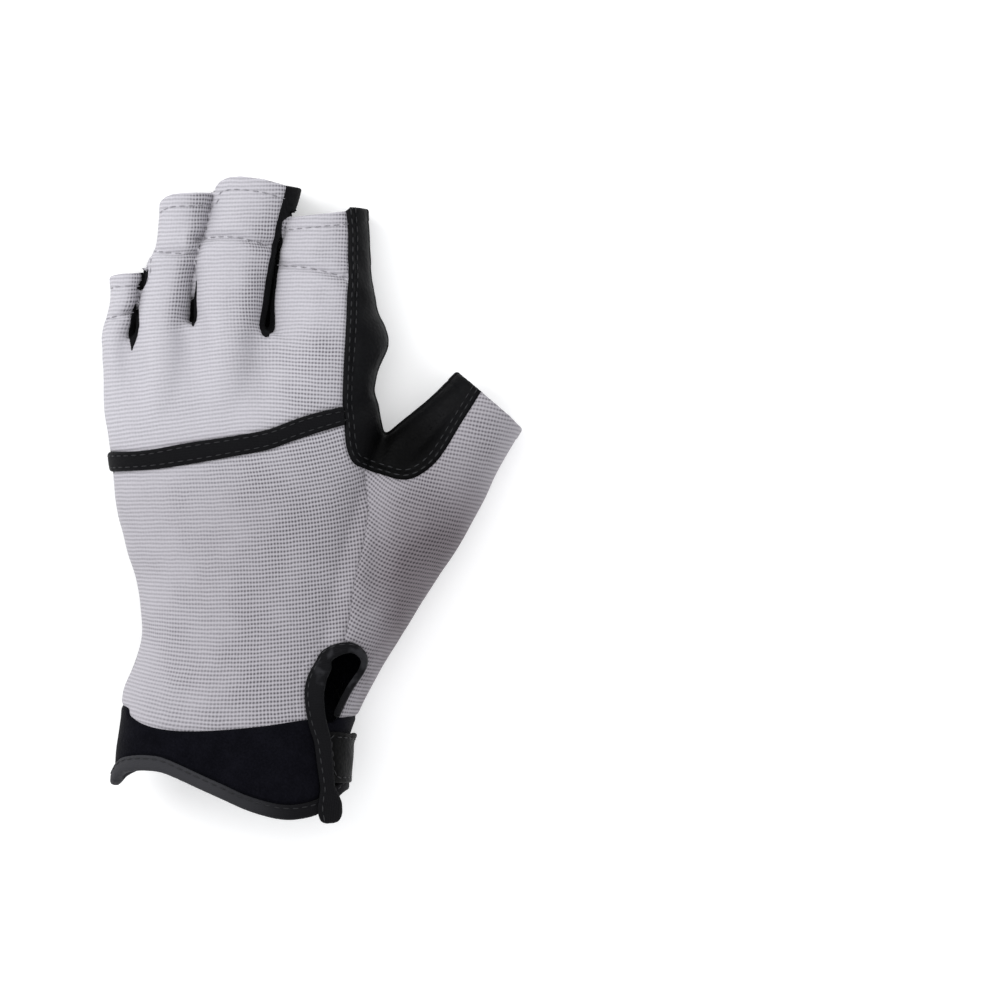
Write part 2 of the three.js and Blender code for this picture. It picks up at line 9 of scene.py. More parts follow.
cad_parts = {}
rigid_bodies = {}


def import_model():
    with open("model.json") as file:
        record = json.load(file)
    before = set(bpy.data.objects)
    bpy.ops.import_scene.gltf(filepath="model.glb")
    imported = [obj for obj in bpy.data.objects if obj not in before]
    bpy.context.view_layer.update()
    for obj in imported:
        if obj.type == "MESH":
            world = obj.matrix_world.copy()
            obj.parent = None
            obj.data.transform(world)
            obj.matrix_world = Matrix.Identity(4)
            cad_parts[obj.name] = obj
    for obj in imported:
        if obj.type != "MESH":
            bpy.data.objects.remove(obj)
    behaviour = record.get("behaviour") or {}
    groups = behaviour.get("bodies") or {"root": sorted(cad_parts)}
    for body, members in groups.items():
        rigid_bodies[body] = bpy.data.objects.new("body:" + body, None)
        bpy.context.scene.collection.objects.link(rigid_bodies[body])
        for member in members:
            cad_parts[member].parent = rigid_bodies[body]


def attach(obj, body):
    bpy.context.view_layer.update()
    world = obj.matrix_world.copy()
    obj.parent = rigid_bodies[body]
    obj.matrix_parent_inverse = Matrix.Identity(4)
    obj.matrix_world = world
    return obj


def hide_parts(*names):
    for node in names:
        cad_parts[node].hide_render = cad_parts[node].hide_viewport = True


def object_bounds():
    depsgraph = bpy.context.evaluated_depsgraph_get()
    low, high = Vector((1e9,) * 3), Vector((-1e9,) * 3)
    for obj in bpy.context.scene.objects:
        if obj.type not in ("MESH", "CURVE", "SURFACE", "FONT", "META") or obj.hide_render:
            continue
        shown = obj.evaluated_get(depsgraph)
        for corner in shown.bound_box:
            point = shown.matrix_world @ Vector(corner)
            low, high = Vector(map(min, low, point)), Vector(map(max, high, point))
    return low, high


for left_over in list(bpy.data.objects):
    bpy.data.objects.remove(left_over)
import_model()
CAD_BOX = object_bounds()

bl_info = {
    "name": "Trekking glove",
    "version": (1, 0, 0),
    "blender": (4, 5, 0),
    "location": "3D View > Sidebar > Glove",
    "description": "Fingerless trekking glove with a knit back, a leather palm and a cuff with a wrist tab",
    "category": "Object",
}

# Lengths are in millimetres until a mesh is made
MM = 0.001
BOX_LOW, BOX_HIGH = (np.array(corner) / MM for corner in CAD_BOX)

# Shares of the layout's width, length and depth that the glove takes up, and how far its middle is from the layout's
TAKEN_UP = np.array((0.99975, 0.995, 1.0392))
WIDTH, LENGTH, DEPTH = (BOX_HIGH - BOX_LOW) / TAKEN_UP
OFF_MIDDLE = np.array((-0.00015, 0.0025)) * (WIDTH, LENGTH)

# Sections of each limb: its place as a share of LENGTH, its left and right edges as shares of WIDTH, the height of
# its middle and its half depth as shares of DEPTH, and how much further along its right edge is
BODY = (
    (-0.031, 0.026, 0.577, 0.552, 0.476), (0.062, 0.028, 0.58, 0.548, 0.471),
    (0.107, 0.032, 0.584, 0.536, 0.46), (0.14, 0.038, 0.587, 0.517, 0.448),
    (0.165, 0.043, 0.592, 0.505, 0.442),
    (0.206, 0.05, 0.602, 0.476, 0.433), (0.255, 0.079, 0.61, 0.426, 0.442),
    (0.301, 0.093, 0.624, 0.407, 0.444), (0.374, 0.079, 0.639, 0.402, 0.445),
    (0.422, 0.057, 0.644, 0.407, 0.45), (0.487, 0.032, 0.653, 0.417, 0.455),
    (0.541, 0.024, 0.663, 0.421, 0.455), (0.595, 0.012, 0.669, 0.421, 0.45),
    (0.637, 0.003, 0.66, 0.41, 0.43), (0.682, 0.001, 0.651, 0.4, 0.385),
    (0.736, 0.0, 0.662, 0.375, 0.325), (0.79, 0.002, 0.655, 0.34, 0.27),
)
LITTLE = (
    (0.62, 0.035, 0.07, 0.42, 0.16), (0.657, 0.022, 0.07, 0.4, 0.22), (0.733, 0.0, 0.067, 0.335, 0.27),
    (0.762, 0.001, 0.072, 0.29, 0.262), (0.785, 0.011, 0.078, 0.267, 0.24),
    (0.81, 0.017, 0.085, 0.245, 0.232), (0.85, 0.0155, 0.103, 0.216, 0.216),
)
RING = (
    (0.62, 0.095, 0.19, 0.4, 0.35), (0.657, 0.082, 0.205, 0.415, 0.38), (0.74, 0.079, 0.208, 0.385, 0.33),
    (0.791, 0.085, 0.211, 0.335, 0.288), (0.85, 0.102, 0.224, 0.281, 0.262),
    (0.868, 0.109, 0.23, 0.272, 0.262), (0.89, 0.126, 0.238, 0.26, 0.246),
    (0.923, 0.133, 0.25, 0.248, 0.25), (0.97, 0.137, 0.264, 0.241, 0.24),
)
MIDDLE = (
    (0.62, 0.24, 0.36, 0.4, 0.36), (0.657, 0.225, 0.375, 0.425, 0.395), (0.754, 0.222, 0.383, 0.415, 0.34),
    (0.802, 0.218, 0.392, 0.385, 0.3), (0.85, 0.22, 0.404, 0.352, 0.276),
    (0.877, 0.224, 0.413, 0.336, 0.272), (0.905, 0.241, 0.424, 0.318, 0.258),
    (0.94, 0.256, 0.452, 0.3, 0.262), (0.995, 0.273, 0.478, 0.279, 0.255),
)
INDEX = (
    (0.62, 0.42, 0.61, 0.4, 0.35), (0.657, 0.405, 0.64, 0.41, 0.385), (0.7, 0.401, 0.655, 0.4, 0.365),
    (0.737, 0.397, 0.678, 0.385, 0.335), (0.764, 0.399, 0.672, 0.375, 0.322),
    (0.795, 0.405, 0.651, 0.355, 0.298), (0.85, 0.415, 0.636, 0.317, 0.27),
    (0.865, 0.42, 0.635, 0.305, 0.266), (0.892, 0.424, 0.633, 0.286, 0.253),
    (0.92, 0.427, 0.631, 0.262, 0.252), (0.945, 0.43, 0.629, 0.25, 0.247),
)

# Sections of the thumb: its left edge across and along, its right edge across and along, middle and half depth
THUMB = (
    (0.514, 0.262, 0.59, 0.139, 0.44, 0.34), (0.531, 0.348, 0.62, 0.181, 0.43, 0.37),
    (0.567, 0.44, 0.677, 0.249, 0.41, 0.395), (0.605, 0.518, 0.768, 0.344, 0.4, 0.395),
    (0.641, 0.571, 0.835, 0.41, 0.385, 0.385), (0.691, 0.607, 0.897, 0.477, 0.37, 0.365),
    (0.77, 0.65, 0.955, 0.5545, 0.345, 0.338), (0.849, 0.698, 1.0075, 0.611, 0.325, 0.315),
)
BODY_SQUARE, STALL_SQUARE, THUMB_SQUARE = 2.45, 2.25, 2.15

# How far the thumb's mouth falls back at its outer corner
THUMB_MOUTH_CORNER = 0.3

# The palm ends between the stalls in a curve: its peak across and along, and its fall
CROWN = (0.256, 0.774, 0.72)

# Each stall's mouth as seen from above: across and along
MOUTHS = (
    ((0.0048, 0.844), (0.0144, 0.8465), (0.0407, 0.8492), (0.0957, 0.8501), (0.1077, 0.8501)),
    ((0.126, 0.953), (0.134, 0.9625), (0.146, 0.968), (0.165, 0.972), (0.2081, 0.9735), (0.28, 0.974)),
    ((0.262, 0.975), (0.27, 0.986), (0.28, 0.9935), (0.3, 0.9978), (0.3278, 0.9985), (0.3876, 0.994),
     (0.4426, 0.984), (0.4785, 0.9805)),
    ((0.4163, 0.9195), (0.4258, 0.929), (0.4474, 0.9365), (0.5837, 0.945), (0.5957, 0.9515), (0.6292, 0.95)),
)

# How softly limbs run into each other, and how far a stall runs past its mouth before it is cut
BODY_THUMB_BLEND, STALL_BLEND, CROWN_BLEND, FLOOR_BLEND = 3.5, 2.2, 3.0, 1.2
MOUTH_RUN, MOUTH_TOUCH = 1.3, 0.3

# Folds and swellings: side (1 back, -1 palm), across, along, turn from X in degrees, long and wide as shares of
# LENGTH, and rise as a share of DEPTH
FOLDS = (
    (1, 0.04, 0.67, 90, 0.05, 0.035, 0.02), (1, 0.144, 0.7, 90, 0.05, 0.035, 0.03),
    (1, 0.301, 0.715, 90, 0.05, 0.04, 0.03), (1, 0.495, 0.7, 90, 0.05, 0.04, 0.03),
    (1, 0.08, 0.7, 100, 0.05, 0.02, -0.04), (1, 0.215, 0.735, 92, 0.05, 0.02, -0.045),
    (1, 0.392, 0.715, 84, 0.06, 0.022, -0.035), (1, 0.66, 0.42, 92, 0.1, 0.022, -0.05),
    (1, 0.8, 0.5, -40, 0.06, 0.02, -0.03), (1, 0.1, 0.24, 8, 0.07, 0.02, -0.025),
    (1, 0.775, 0.607, 48, 0.06, 0.022, -0.09), (1, 0.6, 0.7, 90, 0.05, 0.012, -0.03),
    (-1, 0.2, 0.82, 60, 0.05, 0.022, -0.08), (-1, 0.35, 0.83, 70, 0.06, 0.022, -0.08),
    (-1, 0.25, 0.66, 25, 0.12, 0.03, -0.08), (-1, 0.38, 0.45, 60, 0.1, 0.03, -0.06),
)

# Seams as points, each its share across and its share along
WELT_TOP = ((-0.15, 0.573), (0.012, 0.573), (0.105, 0.575), (0.212, 0.587), (0.318, 0.597), (0.399, 0.607),
            (0.458, 0.621), (0.511, 0.632), (0.578, 0.642))
WELT_BOTTOM = ((-0.15, 0.543), (0.025, 0.543), (0.121, 0.546), (0.212, 0.554), (0.318, 0.566), (0.399, 0.576),
               (0.452, 0.588), (0.511, 0.601), (0.582, 0.615))
INDEX_SEAM = ((0.582, 0.615), (0.578, 0.642), (0.583, 0.733), (0.588, 0.836), (0.589, 0.906), (0.582, 0.958),
              (0.577, 1.05))
CROTCH_SEAM = ((0.582, 0.615), (0.587, 0.58), (0.603, 0.556), (0.632, 0.547), (0.666, 0.54), (0.703, 0.533),
               (0.734, 0.532), (0.763, 0.539), (0.795, 0.555), (0.823, 0.579), (0.856, 0.615), (0.888, 0.648),
               (0.911, 0.672), (0.98, 0.75))
THUMB_SEAM = ((0.567, 0.1), (0.567, 0.193), (0.583, 0.286), (0.595, 0.328), (0.6, 0.363), (0.616, 0.41),
              (0.632, 0.47), (0.632, 0.547))
THUMB_PALM_SEAM = ((0.225, 0.1), (0.232, 0.175), (0.246, 0.209), (0.273, 0.264), (0.316, 0.317), (0.344, 0.363),
                   (0.368, 0.41), (0.404, 0.453), (0.464, 0.491), (0.562, 0.533), (0.667, 0.569), (0.768, 0.615),
                   (0.864, 0.679), (0.95, 0.75))
THENAR_CORNER = 4
THENAR_SEAM = ((0.316, 0.3), (0.294, 0.348), (0.273, 0.386), (0.263, 0.422), (0.278, 0.462), (0.323, 0.502),
               (0.385, 0.546), (0.457, 0.572), (0.548, 0.59), (0.651, 0.612), (0.746, 0.646), (0.835, 0.691),
               (0.92, 0.76))
PALM_SEAM = ((-0.15, 0.53), (-0.007, 0.549), (0.089, 0.566), (0.179, 0.586), (0.239, 0.606), (0.282, 0.637),
             (0.335, 0.688), (0.371, 0.731), (0.39, 0.76))
CUFF_TOP_BACK = ((-0.15, 0.2), (0.041, 0.184), (0.067, 0.168), (0.098, 0.156), (0.146, 0.148), (0.22, 0.145),
                 (0.311, 0.148), (0.402, 0.154), (0.488, 0.162), (0.555, 0.164), (0.596, 0.165), (0.75, 0.165))
CUFF_TOP_PALM = ((-0.15, 0.2), (0.041, 0.184), (0.067, 0.17), (0.12, 0.171), (0.232, 0.176), (0.423, 0.176), (0.519, 0.172),
                 (0.596, 0.165), (0.75, 0.165))
CUFF_EDGE_BACK = ((-0.15, 0.072), (0.0, 0.068), (0.017, 0.061), (0.029, 0.06), (0.038, 0.07), (0.052, 0.079),
                  (0.074, 0.083), (0.105, 0.0845),
                  (0.144, 0.082), (0.182, 0.073), (0.23, 0.059), (0.299, 0.039), (0.347, 0.025), (0.395, 0.015),
                  (0.433, 0.01), (0.471, 0.01), (0.52, 0.018), (0.557, 0.039), (0.598, 0.055), (0.75, 0.06))
CUFF_EDGE_PALM = ((-0.15, 0.072), (0.0, 0.068), (0.017, 0.061), (0.029, 0.06), (0.05, 0.072), (0.084, 0.081),
                  (0.13, 0.083),
                  (0.182, 0.076), (0.232, 0.064), (0.311, 0.05), (0.4, 0.043), (0.48, 0.043), (0.55, 0.05),
                  (0.598, 0.055), (0.75, 0.06))
SIDE_SEAM = ((-0.15, 0.55), (0.1, 0.54), (0.2, 0.48), (0.3, 0.42), (0.55, 0.42), (0.7, 0.39), (0.78, 0.33),
             (0.85, 0.27), (0.93, 0.235), (1.15, 0.22))

# The same seam runs lower along the little stall: how much lower along that stall, and from where to where across
LITTLE_SIDE = ((0.6, 0.0), (0.72, 0.06), (0.8, 0.1), (0.9, 0.08), (0.95, 0.0))
LITTLE_SIDE_FADE = (0.13, 0.07)

# Seams round the stalls on the back, which draw the knit in: lines across and along
CROSS_SEAMS = (
    ((-0.02, 0.776), (0.0096, 0.779), (0.04, 0.784), (0.068, 0.788)),
    ((0.1, 0.886), (0.122, 0.884), (0.17, 0.88), (0.215, 0.879), (0.226, 0.88)),
    ((0.225, 0.9), (0.2416, 0.9026), (0.28, 0.905), (0.33, 0.903), (0.38, 0.895), (0.397, 0.892)),
    ((0.42, 0.862), (0.4306, 0.861), (0.5, 0.856), (0.581, 0.843)),
)
CROSS_SEAM_DEPTH, CROSS_SEAM_WIDTH, CROSS_SEAM_PUFF = 1.1, 0.9, 0.6

# Middle of the slit's tape: up one side of the slit, round its top and down the other
SLIT_LOOP = ((0.5395, 0.003), (0.537, 0.035), (0.532, 0.065), (0.526, 0.1), (0.521, 0.13), (0.508, 0.165),
             (0.5036, 0.204), (0.5156, 0.2326), (0.5371, 0.255), (0.5658, 0.2689), (0.5957, 0.2736),
             (0.6148, 0.2658), (0.6208, 0.2535), (0.6112, 0.2365), (0.5897, 0.2148), (0.5682, 0.187),
             (0.5574, 0.1669))
LOOP_START = 5
HOLLOW_END = ((0.556, 0.157), (0.512, 0.157))

# Space between two stalls: the line that it follows, and the outline of what shows of its black side strip
STALL_SPACES = {
    "little_ring": ((0.072, 0.72), (0.0766, 0.7844), (0.0873, 0.8045), (0.0957, 0.8254), (0.1053, 0.8485),
                    (0.1093, 0.8655), (0.1244, 0.8887), (0.1333, 0.9227), (0.138, 0.963), (0.138, 1.05)),
    "ring_middle": ((0.215, 0.745), (0.217, 0.8), (0.219, 0.84), (0.224, 0.869), (0.232, 0.893), (0.247, 0.912),
                    (0.255, 0.939), (0.2655, 0.963), (0.273, 0.985), (0.276, 1.05)),
    "middle_index": ((0.389, 0.745), (0.395, 0.791), (0.3995, 0.8315), (0.407, 0.872), (0.4187, 0.9026),
                     (0.4306, 0.926), (0.447, 0.941), (0.457, 0.9645), (0.464, 0.985), (0.48, 1.05)),
}
STRIPS_SHOW = {
    "little_ring": (
        ((0.095, 0.8555), (0.106, 0.8555), (0.1053, 0.8501), (0.1035, 0.839), (0.096, 0.8295), (0.0905, 0.824),
         (0.082, 0.8235), (0.0855, 0.829), (0.093, 0.839), (0.0935, 0.8501)),
        ((0.079, 0.803), (0.0835, 0.79), (0.087, 0.7685), (0.0805, 0.752), (0.072, 0.7377), (0.0675, 0.728),
         (0.0645, 0.7425), (0.065, 0.759), (0.069, 0.778), (0.0735, 0.792)),
    ),
    "ring_middle": (
        ((0.2205, 0.842), (0.2222, 0.825), (0.2218, 0.8015), (0.221, 0.782), (0.2175, 0.7697), (0.2125, 0.7715),
         (0.2125, 0.79), (0.2145, 0.81), (0.218, 0.83)),
    ),
    "middle_index": (
        ((0.394, 0.7512), (0.384, 0.7573), (0.3806, 0.7697), (0.385, 0.7913), (0.392, 0.8315),
         (0.3985, 0.8717), (0.413, 0.9119), (0.4286, 0.9459), (0.441, 0.9845), (0.4422, 1.018),
         (0.5096, 1.018), (0.4904, 0.9722), (0.4713, 0.9428), (0.4474, 0.9374), (0.433, 0.9274),
         (0.4258, 0.8964), (0.4175, 0.8624), (0.4115, 0.8253), (0.4079, 0.7913), (0.4067, 0.7635),
         (0.4007, 0.7543)),
    ),
}

# A web closes most of the space between two stalls: its reach left and right of the space's line, its heights, and
# where it is along the glove
WEBS = {"middle_index": ((3.2, 1.2), (5.0, 11.0), (0.75, 0.925)), "ring_middle": ((1.3, 1.3), (5.0, 12.0), (0.75, 0.806))}

# How much wider each side of a stall is than its sections
STALL_EASE = 0.4

# Below the side seam a strip reaches this far each side of its space, and this far above the seam
STRIP_REACH, STRIP_ABOVE = 2.2, -1.0

# Wrist tab: its middle line under the palm, from its free end to past the thumb side
TAB_LINE = ((0.185, 0.12), (1.2, 0.076))
TAB_CORNER = 4.0

# Steps of a smoothed seam between two of its points, and places far outside the glove, as shares
SEAM_STEPS = 6
FAR = 2.0

# Rows of points wanted beside a plain seam, a raised tape and a free edge
PLAIN_ROWS = (0.0, 0.4, -0.4, 1.0, -1.0)
TAPE_ROWS = (0.0, 0.15, 0.4, -0.4, 1.0, -1.0)
EDGE_ROWS = (0.0, 0.15, 0.45, 1.0)
SNAP = 0.05

PANELS = ("knuckle_panel", "lower_back_panel", "thumb_panel", "index_strip", "palm_panel", "finger_palm_panel",
          "thenar_patch", "fourchette_little_ring", "fourchette_ring_middle", "fourchette_middle_index",
          "knuckle_welt", "cuff_back", "cuff_palm", "cuff_binding")
SLOTS = {"knuckle_panel": "knit", "lower_back_panel": "knit", "thumb_panel": "knit", "index_strip": "leather",
         "palm_panel": "leather", "finger_palm_panel": "leather", "thenar_patch": "leather",
         "fourchette_little_ring": "tape", "fourchette_ring_middle": "tape", "fourchette_middle_index": "tape",
         "knuckle_welt": "tape", "cuff_back": "cuff_cloth", "cuff_palm": "cuff_cloth", "cuff_binding": "tape",
         "slit_binding": "tape", "wrist_tab": "leather"}

# Panels whose inside takes the black pile as painted shade, though the knit is unlined, so the slit shows dark inside
SHADED_INSIDE = ("thumb_panel",)
# Panels whose tape takes the copy with painted light
PAINTED_LIGHT_TAPES = {"cuff_binding": "folded_tape"}


# Lines and outlines

def smooth(points, steps=SEAM_STEPS):
    """A Catmull-Rom curve through the given points."""
    points = np.asarray(points, float)
    run = np.vstack((2 * points[0] - points[1], points, 2 * points[-1] - points[-2]))
    t = np.linspace(0, 1, steps, endpoint=False)[:, None]
    spans = [
        b + t * (c - a) / 2 + t**2 * (a - 2.5 * b + 2 * c - d / 2) + t**3 * (1.5 * (b - c) + (d - a) / 2)
        for a, b, c, d in zip(run[:-3], run[1:-2], run[2:-1], run[3:])
    ]
    return np.vstack((*spans, points[-1:]))


def place(points):
    """Shares across and along the layout, as millimetres."""
    return (np.asarray(points, float) - 0.5) * (WIDTH, LENGTH) + OFF_MIDDLE


def seam(points):
    return smooth(place(points))


def line_distance(points, line):
    """Distance from each point to a line, seen from above."""
    px, py = points[:, 0], points[:, 1]
    best = np.full(len(points), np.inf)
    for (ax, ay), (bx, by) in zip(line[:-1], line[1:]):
        dx, dy = bx - ax, by - ay
        t = np.clip(((px - ax) * dx + (py - ay) * dy) / max(dx * dx + dy * dy, 1e-9), 0, 1)
        best = np.minimum(best, (px - ax - t * dx) ** 2 + (py - ay - t * dy) ** 2)
    return np.sqrt(best)


def inside_by(points, outline):
    """How far each point is inside a closed outline seen from above, negative outside it."""
    px, py = points[:, 0], points[:, 1]
    odd = np.zeros(len(points), bool)
    closed = np.vstack((outline, outline[:1]))
    for (ax, ay), (bx, by) in zip(closed[:-1], closed[1:]):
        if ay != by:
            odd ^= ((ay > py) != (by > py)) & (px < ax + (py - ay) * (bx - ax) / (by - ay))
    return np.where(odd, 1, -1) * line_distance(points, closed)


def rounded(outline, radius, steps=8):
    """A closed outline with each corner turned into an arc-like curve."""
    made = []
    for before, corner, after in zip(np.roll(outline, 1, 0), outline, np.roll(outline, -1, 0)):
        start = corner + (before - corner) / np.linalg.norm(before - corner) * radius
        end = corner + (after - corner) / np.linalg.norm(after - corner) * radius
        for t in np.linspace(0, 1, steps):
            made.append((1 - t) ** 2 * start + 2 * t * (1 - t) * corner + t**2 * end)
    return np.array(made)


# The glove's outside as a field, negative inside

def gauge(across, up, half_width, half_depth, square):
    """Distance from a superellipse, near enough close to it."""
    u, w = np.abs(across) / half_width, np.abs(up) / half_depth
    size = np.maximum((u**square + w**square) ** (1 / square), 1e-3)
    slope = np.hypot((u / size) ** (square - 1) / half_width, (w / size) ** (square - 1) / half_depth)
    return (size - 1) / np.maximum(slope, 1e-4)


def join(one, other, soft):
    near = np.maximum(soft - np.abs(one - other), 0) / soft
    return np.minimum(one, other) - near * near * soft / 4


def trim(one, other, soft):
    return -join(-one, -other, soft)


class Limb:
    """A tube of superellipse sections across the glove, from a table of shares."""

    def __init__(self, rows, square, mouth=None, extra=0.0):
        self.extra = extra
        along, left, right, middle, half = np.array(rows).T
        self.left, self.right = (seam(np.column_stack((edge, along))) for edge in (left, right))
        self.depth = smooth(np.column_stack((place(np.column_stack((left, along)))[:, 1],
                                             middle * DEPTH, half * DEPTH)))
        self.square = square
        self.mouth = place(mouth) if mouth else None

    def gap(self, x, y, z):
        left = np.interp(y, self.left[:, 1], self.left[:, 0])
        right = np.interp(y, self.right[:, 1], self.right[:, 0])
        middle, half = (np.interp(y, self.depth[:, 0], self.depth[:, k]) for k in (1, 2))
        return gauge(x - (left + right) / 2, z - middle, (right - left) / 2 + self.extra, half, self.square)

    def mouth_y(self, x):
        return np.interp(x, self.mouth[:, 0], self.mouth[:, 1])

    def solid(self, x, y, z):
        """The same for a limb that ends a little past its mouth."""
        ends = np.maximum(y - self.mouth_y(x) - MOUTH_RUN, self.left[0, 1] - y)
        return np.maximum(self.gap(x, y, z), ends)


class Thumb:
    """The same for the thumb, whose sections turn as it runs off to one side."""

    def __init__(self, rows, square):
        left, along, right, right_along, middle, half = np.array(rows).T
        self.left = seam(np.column_stack((left, along)))
        self.right = seam(np.column_stack((right, right_along)))
        self.depth = smooth(np.column_stack((middle, half)) * DEPTH)
        self.square = square

    def at(self, share):
        place_of = share * (len(self.left) - 1)
        counts = np.arange(len(self.left))
        return [np.interp(place_of, counts, column)
                for column in (*self.left.T, *self.right.T, *self.depth.T)]

    def section(self, x, y):
        """For places seen from above: offset from the section's middle, half width, middle height, half depth."""
        low, high = np.zeros(np.broadcast(x, y).shape), np.ones(np.broadcast(x, y).shape)
        for _ in range(18):
            share = (low + high) / 2
            lx, ly, rx, ry, _, _ = self.at(share)
            ahead = (rx - lx) * (y - ly) - (ry - ly) * (x - lx) > 0
            low, high = np.where(ahead, share, low), np.where(ahead, high, share)
        lx, ly, rx, ry, middle, half = self.at((low + high) / 2)
        width = np.hypot(rx - lx, ry - ly)
        offset = ((x - (lx + rx) / 2) * (rx - lx) + (y - (ly + ry) / 2) * (ry - ly)) / width
        return offset, width / 2, middle, half

    def past(self, end, x, y):
        """How far a place seen from above is past the mouth (end 1) or the base (end 0)."""
        lx, ly, rx, ry, _, _ = self.at(float(end))
        ahead = ((x - (lx + rx) / 2) * (ly - ry) + (y - (ly + ry) / 2) * (rx - lx)) / math.hypot(rx - lx, ry - ly)
        return ahead if end else -ahead

    def gap(self, x, y, z):
        offset, half_width, middle, half = self.section(x, y)
        tube = gauge(offset, z - middle, half_width, half, self.square)
        return np.maximum(tube, np.maximum(self.past(1, x, y) - MOUTH_RUN, self.past(0, x, y)))


body, thumb = Limb(BODY, BODY_SQUARE), Thumb(THUMB, THUMB_SQUARE)
stalls = [Limb(rows, STALL_SQUARE, mouth, STALL_EASE)
          for rows, mouth in zip((LITTLE, RING, MIDDLE, INDEX), MOUTHS)]


class Field:
    """Values on a grid of points, read between the points."""

    def __init__(self, values, low, step):
        self.values, self.low, self.step = values, low, step
        self.slopes = np.gradient(values, step)

    def read(self, points, *grids):
        cell = (points - self.low) / self.step
        base = np.clip(np.floor(cell).astype(int), 0, np.array(self.values.shape) - 2)
        share = cell - base
        read = [0] * len(grids)
        for dx in (0, 1):
            for dy in (0, 1):
                for dz in (0, 1):
                    corner = (dx, dy, dz)
                    weight = np.prod([share[:, k] if corner[k] else 1 - share[:, k] for k in range(3)], axis=0)
                    spot = tuple((base + corner).T)
                    read = [sum_so_far + weight * grid[spot] for sum_so_far, grid in zip(read, grids)]
        return read

    def settle(self, points, rounds=3):
        """The points moved onto the surface."""
        for _ in range(rounds):
            value, *slope = self.read(points, self.values, *self.slopes)
            slope = np.stack(slope, 1)
            move = slope * (value / np.maximum((slope**2).sum(1), 0.05))[:, None]
            points = points - np.clip(move, -self.step, self.step)
        return points

    def top(self, places):
        """The surface above each place seen from above."""
        heights = np.arange(BOX_HIGH[2] + 2, 0, -0.1)
        spots = np.column_stack((np.repeat(places, len(heights), 0), np.tile(heights, len(places))))
        value, = self.read(spots, self.values)
        first = np.argmax(value.reshape(len(places), -1) < 0, axis=1)
        return np.column_stack((places, heights[first]))


def glove_field(step):
    low = np.array((BOX_LOW[0] - 4, BOX_LOW[1] - 3, -3 * step))
    high = np.array((BOX_HIGH[0] + 5, BOX_HIGH[1] + 5, BOX_HIGH[2] + 3))
    axes = [np.arange(a, b, step, dtype=np.float32) for a, b in zip(low, high)]
    x, y, z = np.meshgrid(*axes, indexing="ij", sparse=True)
    peak = place(CROWN[:2])
    crown = peak[1] - CROWN[2] * LENGTH * ((x - peak[0]) / WIDTH) ** 2
    values = trim(body.gap(x, y, z), y - crown, CROWN_BLEND)
    values = join(values, thumb.gap(x, y, z), BODY_THUMB_BLEND)
    fingers = np.full_like(values, 50)
    for stall in stalls:
        fingers = np.minimum(fingers, stall.solid(x, y, z))
    for name, ((left, right), (bottom, top), shares) in WEBS.items():
        space = seam(STALL_SPACES[name])
        start, end = place([(0, share) for share in shares])[:, 1]
        beside = x - np.interp(y, space[:, 1], space[:, 0])
        web = np.maximum(np.maximum(beside - right, -left - beside), np.maximum(start - y, y - end))
        fingers = np.minimum(fingers, np.maximum(web, np.maximum(z - top, bottom - z)))
    values = join(values, fingers, STALL_BLEND)
    values = trim(values, -z, FLOOR_BLEND)
    return Field(values, low, step)


def surface_net(field):
    """A mesh of four-sided faces near the field's zero surface."""
    inside = field.values < 0
    size = np.array(inside.shape)
    corners = [(a, b, c) for a in (0, 1) for b in (0, 1) for c in (0, 1)]
    count = sum(inside[a:size[0] - 1 + a, b:size[1] - 1 + b, c:size[2] - 1 + c].astype(np.int8)
                for a, b, c in corners)
    cells = np.argwhere((count > 0) & (count < 8))
    number = np.full(size - 1, -1)
    number[tuple(cells.T)] = np.arange(len(cells))
    total, hits = np.zeros((len(cells), 3)), np.zeros(len(cells))
    units = np.eye(3, dtype=int)
    for axis in range(3):
        for corner in corners:
            if corner[axis]:
                continue
            start = field.values[tuple((cells + corner).T)]
            end = field.values[tuple((cells + corner + units[axis]).T)]
            crosses = (start < 0) != (end < 0)
            share = np.where(crosses, start / np.where(crosses, start - end, 1), 0)
            total += crosses[:, None] * (corner + share[:, None] * units[axis])
            hits += crosses
    points = field.low + field.step * (cells + total / hits[:, None])
    quads = []
    for axis in range(3):
        b, c = units[(axis + 1) % 3], units[(axis + 2) % 3]
        first = inside.take(range(size[axis] - 1), axis)
        second = inside.take(range(1, size[axis]), axis)
        spots = np.argwhere(first != second)
        rest = [k for k in range(3) if k != axis]
        spots = spots[((spots[:, rest] > 0) & (spots[:, rest] < size[rest] - 1)).all(1)]
        ring = [number[tuple((spots - back).T)] for back in (b + c, c, 0 * b, b)]
        ring = np.column_stack(ring)
        leaving = inside[tuple(spots.T)]
        quads.append(np.where(leaving[:, None], ring, ring[:, ::-1]))
    return points, np.vstack(quads)


def edges_of(faces):
    """Each edge of a mesh once."""
    sides = np.vstack([faces[:, (k, (k + 1) % faces.shape[1])] for k in range(faces.shape[1])])
    sides.sort(axis=1)
    count = sides.max() + 1
    return np.column_stack(np.divmod(np.unique(sides[:, 0] * count + sides[:, 1]), count))


def neighbour_mean(values, edges):
    count = len(values)
    i, j = edges.T
    number = np.bincount(i, minlength=count) + np.bincount(j, minlength=count)
    total = [np.bincount(i, column[j], count) + np.bincount(j, column[i], count) for column in values.T]
    return np.stack(total, 1) / np.maximum(number, 1)[:, None]


def triangles(points, quads):
    a, b, c, d = (points[quads[:, k]] for k in range(4))
    short = np.linalg.norm(a - c, axis=1) <= np.linalg.norm(b - d, axis=1)
    one, other = quads[short], quads[~short]
    return np.vstack((one[:, (0, 1, 2)], one[:, (0, 2, 3)], other[:, (0, 1, 3)], other[:, (1, 2, 3)]))


